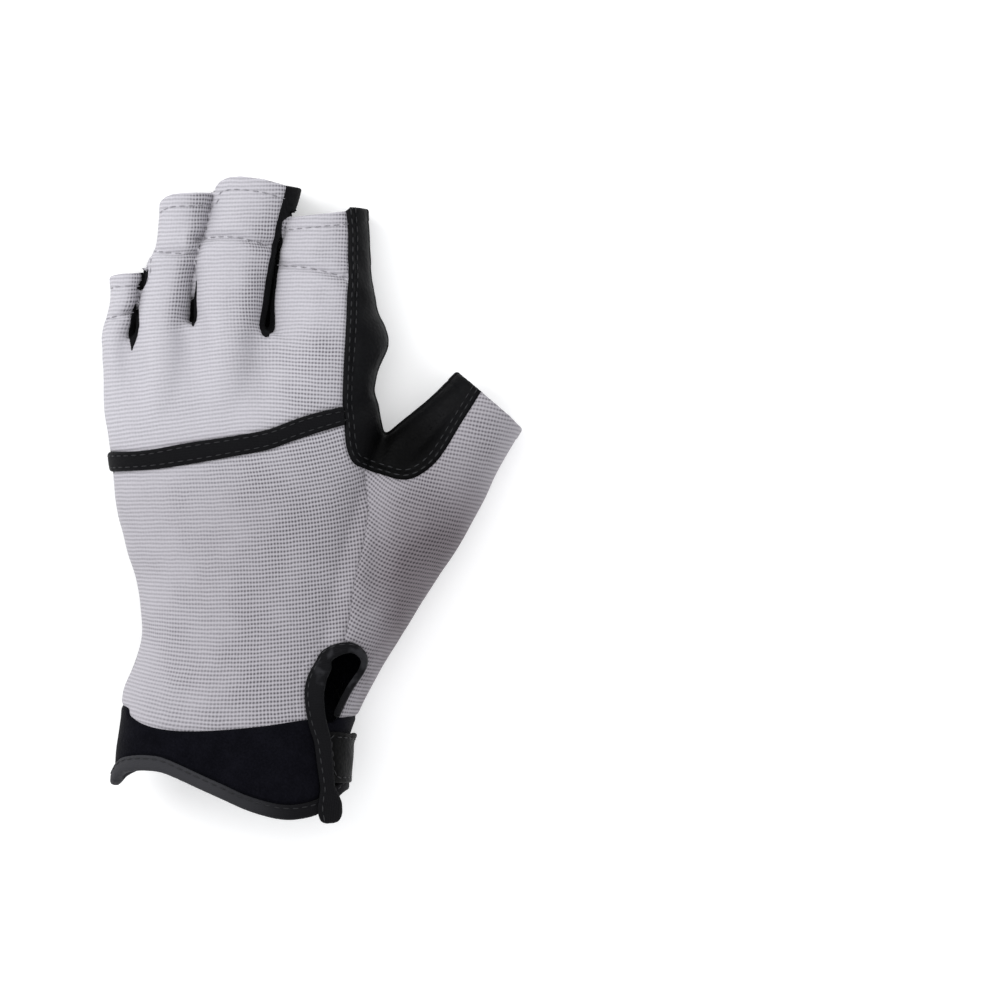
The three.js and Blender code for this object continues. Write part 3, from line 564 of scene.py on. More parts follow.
def normals_of(points, faces):
    a, b, c = (points[faces[:, k]] for k in range(3))
    facing = np.cross(b - a, c - a)
    total = np.zeros_like(points)
    for k in range(3):
        for axis in range(3):
            total[:, axis] += np.bincount(faces[:, k], facing[:, axis], len(points))
    return total / np.maximum(np.linalg.norm(total, axis=1), 1e-9)[:, None]


def cut(points, faces, values, column, level):
    """A mesh cut where one column of its values crosses a level."""
    near = np.abs(values[:, column] - level) < SNAP
    values[near, column] = level
    gap = values[:, column] - level
    side = np.sign(gap).astype(int)
    corner = side[faces]
    mixed = (corner.min(1) < 0) & (corner.max(1) > 0)
    if not mixed.any():
        return points, faces, values
    work, corner = faces[mixed], corner[mixed]
    touching = (corner == 0).any(1)
    odd = np.where(touching, np.argmax(corner == 0, 1),
                   np.argmax(corner == -np.sign(corner.sum(1))[:, None], 1))
    work = np.take_along_axis(work, (odd[:, None] + np.arange(3)) % 3, 1)
    apex, lone = work[touching], work[~touching]
    crossed = np.vstack((apex[:, (1, 2)], lone[:, (0, 1)], lone[:, (0, 2)]))
    crossed.sort(axis=1)
    ends, which = np.unique(crossed[:, 0] * len(points) + crossed[:, 1], return_inverse=True)
    i, j = ends // len(points), ends % len(points)
    share = (gap[i] / (gap[i] - gap[j]))[:, None]
    added = len(points) + which
    made = points[i] + share * (points[j] - points[i])
    made_values = values[i] + share * (values[j] - values[i])
    made_values[:, column] = level
    points, values = np.vstack((points, made)), np.vstack((values, made_values))
    middle = added[:len(apex)]
    first, second = added[len(apex):].reshape(2, -1)
    pieces = [faces[~mixed],
              np.column_stack((apex[:, 0], apex[:, 1], middle)), np.column_stack((apex[:, 0], middle, apex[:, 2])),
              np.column_stack((lone[:, 0], first, second)),
              triangles(points, np.column_stack((first, lone[:, 1], lone[:, 2], second)))]
    return points, np.vstack(pieces), values


# Where each panel lies

def box_outline(*corners):
    return place(corners)


def glove_cuts(points, tab_width, binding_width):
    """Each cut line of the glove: how far every point is inside it, and the rows of points wanted beside it."""
    plan = points[:, :2]
    welt_top, welt_bottom, index_seam = seam(WELT_TOP), seam(WELT_BOTTOM), seam(INDEX_SEAM)
    crotch, thumb_seam, thumb_palm = seam(CROTCH_SEAM), seam(THUMB_SEAM), seam(THUMB_PALM_SEAM)
    far_up, far_left = box_outline((FAR, FAR), (-1, FAR)), box_outline((-1, -1))
    spaces = {name: seam(line) for name, line in STALL_SPACES.items()}
    across, along = ((plan - OFF_MIDDLE) / (WIDTH, LENGTH) + 0.5).T
    side_height = np.interp(along, *smooth(SIDE_SEAM).T)
    side_height -= np.interp(along, *np.array(LITTLE_SIDE).T) * ease(across, *LITTLE_SIDE_FADE)

    def inside(*parts):
        return inside_by(plan, np.vstack(parts))

    def above(line, lift=0.0):
        return inside(seam(line) + (0, lift), far_up)

    cuts = {
        "side": (points[:, 2] - side_height * DEPTH, PLAIN_ROWS),
        "knuckle": (inside(welt_top, index_seam[SEAM_STEPS:], box_outline((0.577, FAR), (-1, FAR), (-1, 0.573))),
                    PLAIN_ROWS),
        "welt": (inside(welt_top, welt_bottom[::-1]), TAPE_ROWS),
        "index": (inside(index_seam, box_outline((FAR, FAR), (FAR, 0.75)), crotch[::-1]), PLAIN_ROWS),
        "lower": (inside(thumb_seam, box_outline((0.632, 1), (-1, 1), (-1, -1), (0.567, -1))), PLAIN_ROWS),
        "cuff_back": (above(CUFF_TOP_BACK), PLAIN_ROWS),
        "bound_back": (above(CUFF_EDGE_BACK, binding_width), TAPE_ROWS[:2] + PLAIN_ROWS[1:]),
        "edge_back": (above(CUFF_EDGE_BACK), EDGE_ROWS),
        "thumb_palm": (inside(thumb_palm, box_outline((FAR, 0.75), (FAR, -1), (0.225, -1))), PLAIN_ROWS),
        "thenar": (inside(seam(THENAR_SEAM), thumb_palm[THENAR_CORNER * SEAM_STEPS:][::-1]), PLAIN_ROWS),
        "finger_palm": (inside(seam(PALM_SEAM), spaces["middle_index"][1:],
                               box_outline((-1, FAR), (-1, 0.53))), PLAIN_ROWS),
        "cuff_palm": (above(CUFF_TOP_PALM), PLAIN_ROWS),
        "bound_palm": (above(CUFF_EDGE_PALM, binding_width), TAPE_ROWS[:2] + PLAIN_ROWS[1:]),
        "edge_palm": (above(CUFF_EDGE_PALM), EDGE_ROWS),
    }
    loop = seam(SLIT_LOOP)
    hidden = np.where(across > 0.552, 1.3, 1.0)
    within = inside_by(plan, np.vstack((loop[LOOP_START * SEAM_STEPS:], place(HOLLOW_END))))
    cuts["slit"] = np.maximum(hidden - line_distance(plan, loop), within), (0.0,)
    cuts["right_of_slit"] = inside(loop[:LOOP_START * SEAM_STEPS + 1], box_outline(
        (0.54, 0.168), (0.6, 0.3), (FAR, 0.3), (FAR, -1), (0.541, -1))), (0.0,)
    for name, line in spaces.items():
        below = np.minimum(STRIP_REACH - line_distance(plan, line[SEAM_STEPS:]), STRIP_ABOVE - cuts["side"][0])
        shown = [inside_by(plan, place(outline)) for outline in STRIPS_SHOW[name]]
        cuts["strip_" + name] = np.maximum.reduce((*shown, below)), (0.0, 0.4, -0.4)
    away = np.abs([stall.solid(*points.T) for stall in stalls])
    to_mouth = np.array([stall.mouth_y(plan[:, 0]) - plan[:, 1] for stall in stalls])
    own = (away == away.min(0)) | (away < MOUTH_TOUCH)
    cuts["mouth"] = np.where(own, to_mouth, LENGTH).min(0), EDGE_ROWS
    offset, half_width, _, _ = thumb.section(*plan.T)
    corner = THUMB_MOUTH_CORNER * ease(offset / half_width, 0.6, 1.0)
    cuts["thumb_mouth"] = np.where(across > 0.7, -thumb.past(1, *plan.T) - corner, LENGTH), EDGE_ROWS
    start, end = place(TAB_LINE)
    across = np.array((start[1] - end[1], end[0] - start[0])) / np.linalg.norm(end - start) * tab_width / 2
    outline = rounded(np.array((start + across, start - across, end - across, end + across)), TAB_CORNER)
    cuts["tab"] = inside_by(plan, outline), EDGE_ROWS
    return cuts


def panel_of_faces(at):
    """The number of the panel that each face belongs to, or -1 where the glove has none."""
    number = {name: k for k, name in enumerate(PANELS)}
    back = at["side"] > 0
    right = at["right_of_slit"] > 0
    rules = (
        (back, "lower_back_panel"), (back & (at["lower"] < 0), "thumb_panel"),
        (back & (at["knuckle"] > 0), "knuckle_panel"), (back & (at["index"] > 0), "index_strip"),
        (back & (at["welt"] > 0), "knuckle_welt"),
        (~back, "palm_panel"), (~back & (at["thumb_palm"] > 0), "thumb_panel"),
        (~back & (at["thenar"] > 0), "thenar_patch"), (~back & (at["finger_palm"] > 0), "finger_palm_panel"),
        (at["strip_little_ring"] > 0, "fourchette_little_ring"),
        (at["strip_ring_middle"] > 0, "fourchette_ring_middle"),
        (at["strip_middle_index"] > 0, "fourchette_middle_index"),
        (back & (at["cuff_back"] < 0) & ~right, "cuff_back"), (back & (at["cuff_back"] < 0) & right, "cuff_palm"),
        (~back & (at["cuff_palm"] < 0), "cuff_palm"),
        (back & (at["bound_back"] < 0), "cuff_binding"), (~back & (at["bound_palm"] < 0), "cuff_binding"),
    )
    panel = np.full(len(back), -1)
    for where, name in rules:
        panel[where] = number[name]
    gone = np.where(back, (at["edge_back"] < 0) | (at["slit"] > 0), at["edge_palm"] < 0)
    panel[gone | (at["mouth"] < 0) | (at["thumb_mouth"] < 0)] = -1
    return panel


def relief(points, normals):
    """How far the folds push each point out."""
    push = np.zeros(len(points))
    for side, across, along, turn, long, wide, rise in FOLDS:
        middle = place((across, along))
        cos, sin = math.cos(math.radians(turn)), math.sin(math.radians(turn))
        dx, dy = points[:, 0] - middle[0], points[:, 1] - middle[1]
        u = (dx * cos + dy * sin) / (long * LENGTH)
        v = (dy * cos - dx * sin) / (wide * LENGTH)
        push += rise * DEPTH * np.exp(-u * u - v * v) * np.clip(normals[:, 2] * side, 0, 1)
    facing_up = ease(normals[:, 2], 0.2, 0.75)
    for line in CROSS_SEAMS:
        away = line_distance(points[:, :2], seam(line))
        push -= CROSS_SEAM_DEPTH * ridge(away, 0, CROSS_SEAM_WIDTH) * facing_up
        push += CROSS_SEAM_PUFF * ridge(away, 3.2, 2.2) * facing_up
    return push + uneven(points)


def uneven(points, height=0.09, waves=36):
    """The small unevenness of worn cloth."""
    chance = np.random.default_rng(7)
    push = np.zeros(len(points))
    for _ in range(waves):
        way = chance.normal(size=3)
        way *= math.tau / chance.uniform(7, 30) / np.linalg.norm(way)
        push += np.sin(points @ way + chance.uniform(0, math.tau))
    return push * height / math.sqrt(waves / 2)


class Cloth:
    """The whole outside of the glove as one mesh, cut along its seams, with a panel number for each face."""

    def __init__(self, step, tab_width, binding_width):
        self.field = glove_field(step)
        points, quads = surface_net(self.field)
        edges = edges_of(quads)
        points = self.field.settle(points)
        for _ in range(3):
            points = self.field.settle((points + neighbour_mean(points, edges)) / 2, 2)
        faces = triangles(points, quads)
        cuts = glove_cuts(points, tab_width, binding_width)
        values = np.column_stack([value for value, _ in cuts.values()])
        for column, (_, rows) in enumerate(cuts.values()):
            for level in rows:
                points, faces, values = cut(points, faces, values, column, level)
        middle = values[faces].mean(1)
        at = {name: middle[:, column] for column, name in enumerate(cuts)}
        self.panel = panel_of_faces(at)
        self.in_tab = (at["tab"] > 0) & (at["edge_back"] > 0) & (at["edge_palm"] > 0) & (
            (at["side"] < 0) | (at["right_of_slit"] > 0)) & ((at["side"] < 0) | (at["slit"] < 0))
        normals = normals_of(points, faces)
        self.points = points + normals * relief(points, normals)[:, None]
        self.points[:, 2] = np.maximum(self.points[:, 2], 0)
        self.faces = faces
        self.normals = normals_of(self.points, faces)
        self.find_borders()

    def find_borders(self):
        """The edges between two panels, and those along a free edge, whose second panel is -1."""
        sides = np.vstack([self.faces[:, (k, (k + 1) % 3)] for k in range(3)])
        sides.sort(axis=1)
        owner = np.tile(self.panel, 3)
        order = np.lexsort((owner, sides[:, 1], sides[:, 0]))
        sides, owner = sides[order], owner[order]
        twins = (sides[:-1] == sides[1:]).all(1)
        first = np.flatnonzero(twins & (owner[:-1] != owner[1:]))
        self.border = sides[first]
        self.border_panels = np.column_stack((owner[first], owner[first + 1]))

    def border_of(self, name, others=None):
        """Points along a panel's border with other panels: named ones, "edge" for a free edge, or all of them."""
        own = PANELS.index(name)
        with_own = (self.border_panels == own).any(1)
        other = np.where(self.border_panels[:, 0] == own, self.border_panels[:, 1], self.border_panels[:, 0])
        if others == "edge":
            wanted = with_own & (other == -1)
        elif others is None:
            wanted = with_own & (other >= 0)
        else:
            wanted = with_own & np.isin(other, [PANELS.index(panel) for panel in others])
        start, end = (self.points[self.border[wanted, k]] for k in (0, 1))
        return np.vstack([start + (end - start) * share for share in (0, 0.25, 0.5, 0.75)])


def nearest(points, targets):
    """Distance from each point to the nearest of some others."""
    if not len(targets):
        return np.full(len(points), np.inf)
    tree = KDTree(len(targets))
    for k, target in enumerate(targets.tolist()):
        tree.insert(target, k)
    tree.balance()
    return np.array([tree.find(point)[2] for point in points.tolist()])


def swell(distance, run):
    """0 at the border and 1 from run on, round as a folded edge is."""
    return np.sqrt(np.clip(1 - (1 - np.minimum(distance / run, 1)) ** 2, 0, 1))


def ridge(distance, middle, width):
    return np.exp(-((distance - middle) / width) ** 2)


def ease(value, low, high):
    share = np.clip((value - low) / (high - low), 0, 1)
    return share * share * (3 - 2 * share)


def walled(outer, inner, faces):
    """A closed wall from an outside and an inside that share their faces."""
    sides = np.vstack([faces[:, (k, (k + 1) % 3)] for k in range(3)])
    key = sides[:, 0] * len(outer) + sides[:, 1]
    twin = sides[:, 1] * len(outer) + sides[:, 0]
    i, j = sides[~np.isin(key, twin)].T
    count = len(outer)
    rim = np.vstack((np.column_stack((j, i, i + count)), np.column_stack((j, i + count, j + count))))
    return np.vstack((outer, inner)), np.vstack((faces, faces[:, ::-1] + count, rim))


def picked(faces):
    """The points that some faces use, and the faces with those points' numbers."""
    used, numbers = np.unique(faces, return_inverse=True)
    return used, numbers.reshape(faces.shape)


def solve_lengths(edges, weight, wanted, start, rounds=500):
    """Values at points whose differences along the edges are as near as can be to the wanted ones."""
    i, j = edges.T
    count = len(start)

    def spread(values):
        values = weight * values
        return np.bincount(j, values, count) - np.bincount(i, values, count)

    found = start.copy()
    left = spread(wanted - (found[j] - found[i]))
    way, size = left.copy(), left @ left
    goal = size * 1e-8
    for _ in range(rounds):
        image = spread(way[j] - way[i])
        share = size / max(way @ image, 1e-12)
        found += share * way
        left -= share * image
        new = left @ left
        if new < goal:
            break
        way = left + new / size * way
        size = new
    return found


def unroll(points, faces, normals, slope):
    """Lengths across and along the cloth at each point, where its rows run at the given slopes seen from above."""
    up = np.column_stack((-slope, np.ones(len(points)), np.zeros(len(points))))
    up -= normals * (up * normals).sum(1)[:, None]
    up /= np.maximum(np.linalg.norm(up, axis=1), 1e-3)[:, None]
    across = np.cross(up, normals)
    edges = edges_of(faces)
    step = points[edges[:, 1]] - points[edges[:, 0]]
    weight = 1 / (np.linalg.norm(step, axis=1) + 0.1)
    lengths = []
    for guide, start in ((across, points[:, 0]), (up, points[:, 1])):
        wanted = ((guide[edges[:, 0]] + guide[edges[:, 1]]) / 2 * step).sum(1)
        lengths.append(solve_lengths(edges, weight, wanted, start))
    return np.column_stack(lengths)


def row_slope(name, points):
    """The slope of the knit's rows seen from above."""
    across = (points[:, 0] - OFF_MIDDLE[0]) / WIDTH + 0.5
    along = (points[:, 1] - OFF_MIDDLE[1]) / LENGTH + 0.5
    if name == "thumb_panel":
        by_seam = np.exp(-(line_distance(points[:, :2], seam(THUMB_SEAM)) / 9) ** 2)
        return -0.2 - 0.7 * by_seam * ease(along, 0.2, 0.4)
    if name == "knuckle_panel":
        arch = np.interp(across, (0.0, 0.1, 0.3, 0.38, 0.45, 0.6), (0.1, 0.17, 0.17, 0.0, -0.08, -0.03))
        return arch * ease(along, 0.83, 0.66)
    near_welt = ease(along, 0.42, 0.56)
    near_cuff = ease(along, 0.36, 0.2)
    by_welt = np.interp(across, (0.0, 0.1, 0.3, 0.5, 0.64), (0.02, 0.08, 0.13, 0.22, 0.42))
    by_cuff = np.interp(across, (0.0, 0.12, 0.3, 0.45, 0.6), (-0.4, -0.3, 0.0, 0.08, 0.12))
    middle = np.interp(across, (0.0, 0.2, 0.4, 0.6), (-0.02, 0.0, 0.05, 0.16))
    return middle + (by_welt - middle) * near_welt + (by_cuff - middle) * near_cuff


def openness(name, points, normals):
    """How far the knit's gaps show, from rows alone at 0 to a grid of holes at 1: more towards the thumb side, and on
    the knuckle panel's stalls, as painted shade, more on faces turned towards +X, away from the light.
    """
    across, along = ((points[:, :2] - OFF_MIDDLE) / (WIDTH, LENGTH) + 0.5).T
    # Painted shade: faces turned towards +X, away from the light, show more of the dark gaps
    facing_right_shade = ease(normals[:, 0], -0.25, 0.6)
    if name == "thumb_panel":
        return 0.85 - 0.3 * ease(normals[:, 0], 0.45, 0.95) - 0.25 * ease(along, 0.42, 0.55)
    if name == "knuckle_panel":
        knuckles = 0.75 * ease(across, 0.2, 0.6)
        return knuckles + (0.95 * facing_right_shade - knuckles) * ease(along, 0.72, 0.8)
    return 0.15 + 0.75 * ease(across - 0.25 * along, -0.02, 0.45)


# Meshes and materials

def new_object(name, points, faces, material, lengths=None):
    """A mesh object at the origin from points in millimetres."""
    mesh = bpy.data.meshes.new(name)
    mesh.vertices.add(len(points))
    mesh.vertices.foreach_set("co", (points * MM).astype(np.float32).ravel())
    mesh.loops.add(faces.size)
    mesh.loops.foreach_set("vertex_index", faces.astype(np.int32).ravel())
    mesh.polygons.add(len(faces))
    mesh.polygons.foreach_set("loop_start", np.arange(0, faces.size, 3, dtype=np.int32))
    mesh.polygons.foreach_set("use_smooth", np.ones(len(faces), bool))
    mesh.update(calc_edges=True)
    if lengths is not None:
        layer = mesh.uv_layers.new(name="cloth")
        layer.data.foreach_set("uv", lengths[faces.ravel()].astype(np.float32).ravel())
    mesh.validate()
    mesh.materials.append(material)
    piece = bpy.data.objects.new(name, mesh)
    bpy.context.scene.collection.objects.link(piece)
    return piece


def hand_over(piece, slot, *nodes):
    """The piece rides on the glove and stands for its CAD nodes, which it hides. The slot is not used."""
    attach(piece, "root")
    if nodes:
        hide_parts(*nodes)
    return piece


class Value:
    """A shader socket that takes part in expressions."""

    def __init__(self, shader, socket):
        self.shader, self.socket = shader, socket

    def math(self, operation, *others, swap=False):
        terms = (*others, self) if swap else (self, *others)
        return self.shader.node("ShaderNodeMath", {"operation": operation}, dict(enumerate(terms)))

    def __add__(self, other):
        return self.math("ADD", other)

    def __radd__(self, other):
        return self.math("ADD", other)

    def __sub__(self, other):
        return self.math("SUBTRACT", other)

    def __rsub__(self, other):
        return self.math("SUBTRACT", other, swap=True)

    def __mul__(self, other):
        return self.math("MULTIPLY", other)

    def __rmul__(self, other):
        return self.math("MULTIPLY", other)

    def __truediv__(self, other):
        return self.math("DIVIDE", other)

    def __pow__(self, other):
        return self.math("POWER", other)

    def __abs__(self):
        return self.math("ABSOLUTE")


class Shader:
    """A material whose nodes are made by one method."""

    def __init__(self, name):
        self.material = bpy.data.materials.new(name)
        self.material.use_nodes = True
        self.tree = self.material.node_tree
        self.tree.nodes.clear()

    def node(self, kind, settings=None, sockets=None, output=0):
        """A node of any type, its settings first, then the values or links of its sockets."""
        node = self.tree.nodes.new(kind)
        for key, value in (settings or {}).items():
            if key == "stops":
                for element, (spot, colour) in zip(node.color_ramp.elements, value):
                    element.position, element.color = spot, (*colour, 1)
            else:
                setattr(node, key, value)
        for key, value in (sockets or {}).items():
            if isinstance(value, Value):
                self.tree.links.new(value.socket, node.inputs[key])
            else:
                node.inputs[key].default_value = value
        return Value(self, node.outputs[output]) if node.outputs else None

    def noise(self, where, scale, detail=2.0, roughness=0.5, output=0):
        return self.node("ShaderNodeTexNoise", None,
                         {"Vector": where, "Scale": scale, "Detail": detail, "Roughness": roughness}, output)

    def mix(self, share, one, other, blend="MIX"):
        return self.node("ShaderNodeMix", {"data_type": "RGBA", "blend_type": blend},
                         {0: share, 6: one, 7: other}, 2)

    def apart(self, vector):
        """The three parts of a vector."""
        first = self.node("ShaderNodeSeparateXYZ", None, {"Vector": vector})
        return [Value(self, socket) for socket in first.socket.node.outputs]

    def ramp(self, value, low, high):
        """0 below low, 1 above high, smooth between."""
        return self.node("ShaderNodeMapRange", {"interpolation_type": "SMOOTHSTEP"},
                         {"Value": value, "From Min": low, "From Max": high})

    def bump(self, height, distance, strength=1.0, normal=None):
        sockets = {"Height": height, "Distance": distance, "Strength": strength}
        if normal:
            sockets["Normal"] = normal
        return self.node("ShaderNodeBump", None, sockets)

    def finish(self, sockets):
        surface = self.node("ShaderNodeBsdfPrincipled", None, sockets)
        self.node("ShaderNodeOutputMaterial", None, {"Surface": surface})
        return self.material


def colour(values):
    return (*values, 1.0)


def knit_material(finish, sizes):
    """Ribbed knit: raised rows crossed by columns of loops, with dark gaps, and painted shade that darkens it towards
    the thumb side and the wrist.
    """
    shader = Shader("ribbed_knit")
    uv = shader.node("ShaderNodeUVMap", {"uv_map": "cloth"})
    across, along, _ = shader.apart(uv)
    slow = shader.noise(uv, 0.06, 2.0)
    wander = shader.noise(uv, 0.16, 2.0) * 3.2
    yarn = shader.noise(uv, 1.5, 3.0, 0.65)
    fibre = shader.noise(uv, 6.0, 2.0, 0.7)
    rows = ((along * (math.tau / sizes.row_pitch * MM) + wander).math("SINE") + 1) * 0.5
    columns = ((across * (math.tau / sizes.column_pitch * MM) + wander).math("SINE") + 1) * 0.5
    # How far the gaps show: partly painted shade on faces turned towards +X
    given = shader.node("ShaderNodeAttribute", {"attribute_name": "stretch"}, output=2)
    stretch = shader.ramp(given + (slow - 0.5) * 1.1, 0.0, 1.0)
    hole = (1 - rows ** 0.8) * (1 - columns ** 1.7 * (stretch * 0.5 + 0.2))
    loops = 1 - hole - (1 - columns) * (stretch * 0.2 + 0.04)
    shade = 1 - (1 - loops) * (stretch * 0.55 + 0.36) + (yarn - 0.5) * 0.4 - fibre * 0.06
    base = shader.mix(shade, colour(finish.knit_gap), colour(finish.knit_yarn))
    x, y, _ = shader.apart(shader.node("ShaderNodeTexCoord", output=3))
    # Painted shade: the knit is multiplied darker towards the thumb side (+X) and the wrist (-Y), most on the thumb's
    # lower part, and a little more where its gaps are open
    thumb_side_shade = shader.ramp(x + slow * 0.012, 0.006, 0.046)
    painted_shade = shader.ramp(y + slow * 0.012, 0.034, 0.0) * 0.24 + thumb_side_shade * (shader.ramp(y, 0.012, -0.03) * 0.58 + 0.36)
    base = shader.mix(painted_shade + stretch * 0.06, base, colour(finish.knit_shade), blend="MULTIPLY")
    normal = shader.bump(loops + fibre * 0.1, 0.00022, 0.7)
    return shader.finish({"Base Color": base, "Roughness": 0.88, "Normal": normal, "Sheen Weight": 0.1,
                          "Sheen Roughness": 0.5, "Specular IOR Level": 0.2})


def leather_material(finish, sizes):
    """Soft leather: small pebbled grain over slow creases, with a dull sheen, and painted shade in the crotch's fold
    and on the wrist tab right of the glove's middle.
    """
    shader = Shader("grained_leather")
    spot = shader.node("ShaderNodeTexCoord", output=3)
    bend = shader.noise(spot, 420.0, 2.0, output=1)
    moved = shader.node("ShaderNodeVectorMath", {"operation": "MULTIPLY_ADD"},
                        {0: bend, 1: (0.0009, 0.0009, 0.0009), 2: spot})
    cells = shader.node("ShaderNodeTexVoronoi", {"feature": "SMOOTH_F1"},
                        {"Vector": moved, "Scale": 1 / sizes.grain, "Smoothness": 0.35})
    crease = shader.noise(spot, 260.0, 4.0, 0.62)
    slow = shader.noise(spot, 38.0, 3.0)
    height = (1 - cells) * 0.75 + crease * 0.6
    base = shader.mix(shader.ramp(slow, 0.3, 0.7), colour(finish.leather_dark), colour(finish.leather))
    base = shader.mix(shader.ramp(cells, 0.35, 0.8) * 0.55, base, colour(finish.leather_dark))
    # Painted shade: the leather darkens to black in the fold at the crotch between the index stall and the thumb
    fold_shade = shader.node("ShaderNodeVectorMath", {"operation": "DISTANCE"}, {0: spot, 1: (0.029, 0.013, 0.022)}, 1)
    x, y, _ = shader.apart(spot)
    # Painted shade: the leather of the wrist tab right of the glove's middle, towards the cuff, is mixed towards black
    tab_side_shade = shader.ramp(x, -0.005, 0.006) * shader.ramp(y, -0.06, -0.07) * 0.8
    base = shader.mix(shader.ramp(fold_shade, 0.02, 0.008) * 0.85 + tab_side_shade, base, colour((0.0, 0.0, 0.0)))
    rough = shader.ramp(crease, 0.25, 0.75) * 0.14 + 0.46
    normal = shader.bump(height, 0.00016, 0.8)
    return shader.finish({"Base Color": base, "Roughness": rough, "Normal": normal,
                          "Specular IOR Level": 0.06})


def pile_material(finish, sizes):
    """Short black pile: a matt, slightly mottled nap."""
    shader = Shader("short_pile")
    spot = shader.node("ShaderNodeTexCoord", output=3)
    nap = shader.noise(spot, 1500.0, 3.0, 0.75)
    lay = shader.noise(spot, 140.0, 4.0, 0.6)
    base = shader.mix(shader.ramp(nap * 0.6 + lay * 0.4, 0.35, 0.72), colour(finish.pile), colour(finish.pile_tip))
    normal = shader.bump(nap + lay * 0.6, 0.0003, 0.7)
    return shader.finish({"Base Color": base, "Roughness": 0.95, "Normal": normal, "Sheen Weight": 0.04,
                          "Sheen Roughness": 0.4, "Specular IOR Level": 0.05})


def tape_material(finish, sizes, folded=False):
    """Woven tape: a fine twill that catches a faint light; the copy for the folded tapes has painted light on the left
    part of the cuff's binding and painted highlights in patches on the slit's loop.
    """
    shader = Shader("folded_tape" if folded else "woven_tape")
    spot = shader.node("ShaderNodeTexCoord", output=3)
    x, y, z = shader.apart(spot)
    pitch = sizes.twill_pitch
    one = ((x + y * 0.7 + z) / pitch * math.tau).math("SINE")
    other = ((x - y * 0.9 + z * 0.4) / pitch * math.tau).math("SINE")
    fibre = shader.noise(spot, 1900.0, 2.0, 0.6)
    weave = one * other * 0.5 + 0.5
    slow = shader.noise(spot, 90.0, 2.0)
    base = shader.mix(shader.ramp(weave * 0.7 + fibre * 0.5 + slow * 0.2, 0.2, 1.1),
                      colour(finish.tape), colour(finish.tape_light))
    if folded:
        # Painted light: the cuff's binding is lighter towards its left end, and the slit's loop has painted highlights
        # in patches on its upper part
        by_cuff = shader.ramp(x + slow * 0.01, 0.006, -0.03) * shader.ramp(y, -0.07, -0.076)
        loop_highlight = shader.ramp(y, -0.064, -0.056) * shader.ramp(shader.noise(spot, 170.0, 2.0), 0.5, 0.62) * 0.5
        base = shader.mix(by_cuff + loop_highlight, base, colour(finish.tape_lit))
    normal = shader.bump(weave + fibre * 0.8, 0.00012, 0.7)
    return shader.finish({"Base Color": base, "Roughness": 0.72, "Normal": normal, "Sheen Weight": 0.015,
                          "Specular IOR Level": 0.07})


def thread_material(name, tint):
    """Twisted thread."""
    shader = Shader(name)
    spot = shader.node("ShaderNodeTexCoord", output=3)
    twist = shader.noise(spot, 2200.0, 2.0, 0.6)
    dark = tuple(part * 0.55 for part in tint)
    base = shader.mix(shader.ramp(twist, 0.3, 0.7), colour(dark), colour(tint))
    normal = shader.bump(twist, 0.00008, 0.6)
    return shader.finish({"Base Color": base, "Roughness": 0.6, "Normal": normal, "Specular IOR Level": 0.35})


def floor_material(tint):
    shader = Shader("pale_floor")
    spot = shader.node("ShaderNodeTexCoord", output=3)
    mottle = shader.noise(spot, 3.0, 2.0)
    base = shader.mix(shader.ramp(mottle, 0.3, 0.7), colour(tint), colour(tuple(part * 0.985 for part in tint)))
    return shader.finish({"Base Color": base, "Roughness": 0.9, "Specular IOR Level": 0.1,
                          "Emission Color": (1.0, 1.0, 1.0, 1.0), "Emission Strength": 0.3})


# Stitches

stitch_rows = {"grey_stitches": [], "black_stitches": []}


def level_line(points, faces, values, level, lift):
    """The points and edges of the line where values cross a level on a mesh, lifted a little off it."""
    gap = values - level
    usable = np.isfinite(gap)[faces].all(1)
    faces = faces[usable & (gap[faces].min(1) < 0) & (gap[faces].max(1) > 0)]
    sides = np.stack([faces[:, (k, (k + 1) % 3)] for k in range(3)], 1)
    crosses = (gap[sides[..., 0]] < 0) != (gap[sides[..., 1]] < 0)
    faces_kept = crosses.sum(1) == 2
    ends = sides[faces_kept][crosses[faces_kept]].reshape(-1, 2)
    ends.sort(axis=1)
    keys, which = np.unique(ends[:, 0] * len(points) + ends[:, 1], return_inverse=True)
    i, j = keys // len(points), keys % len(points)
    share = (gap[i] / (gap[i] - gap[j]))[:, None]
    lifted = points + lift
    return lifted[i] + share * (lifted[j] - lifted[i]), which.reshape(-1, 2)


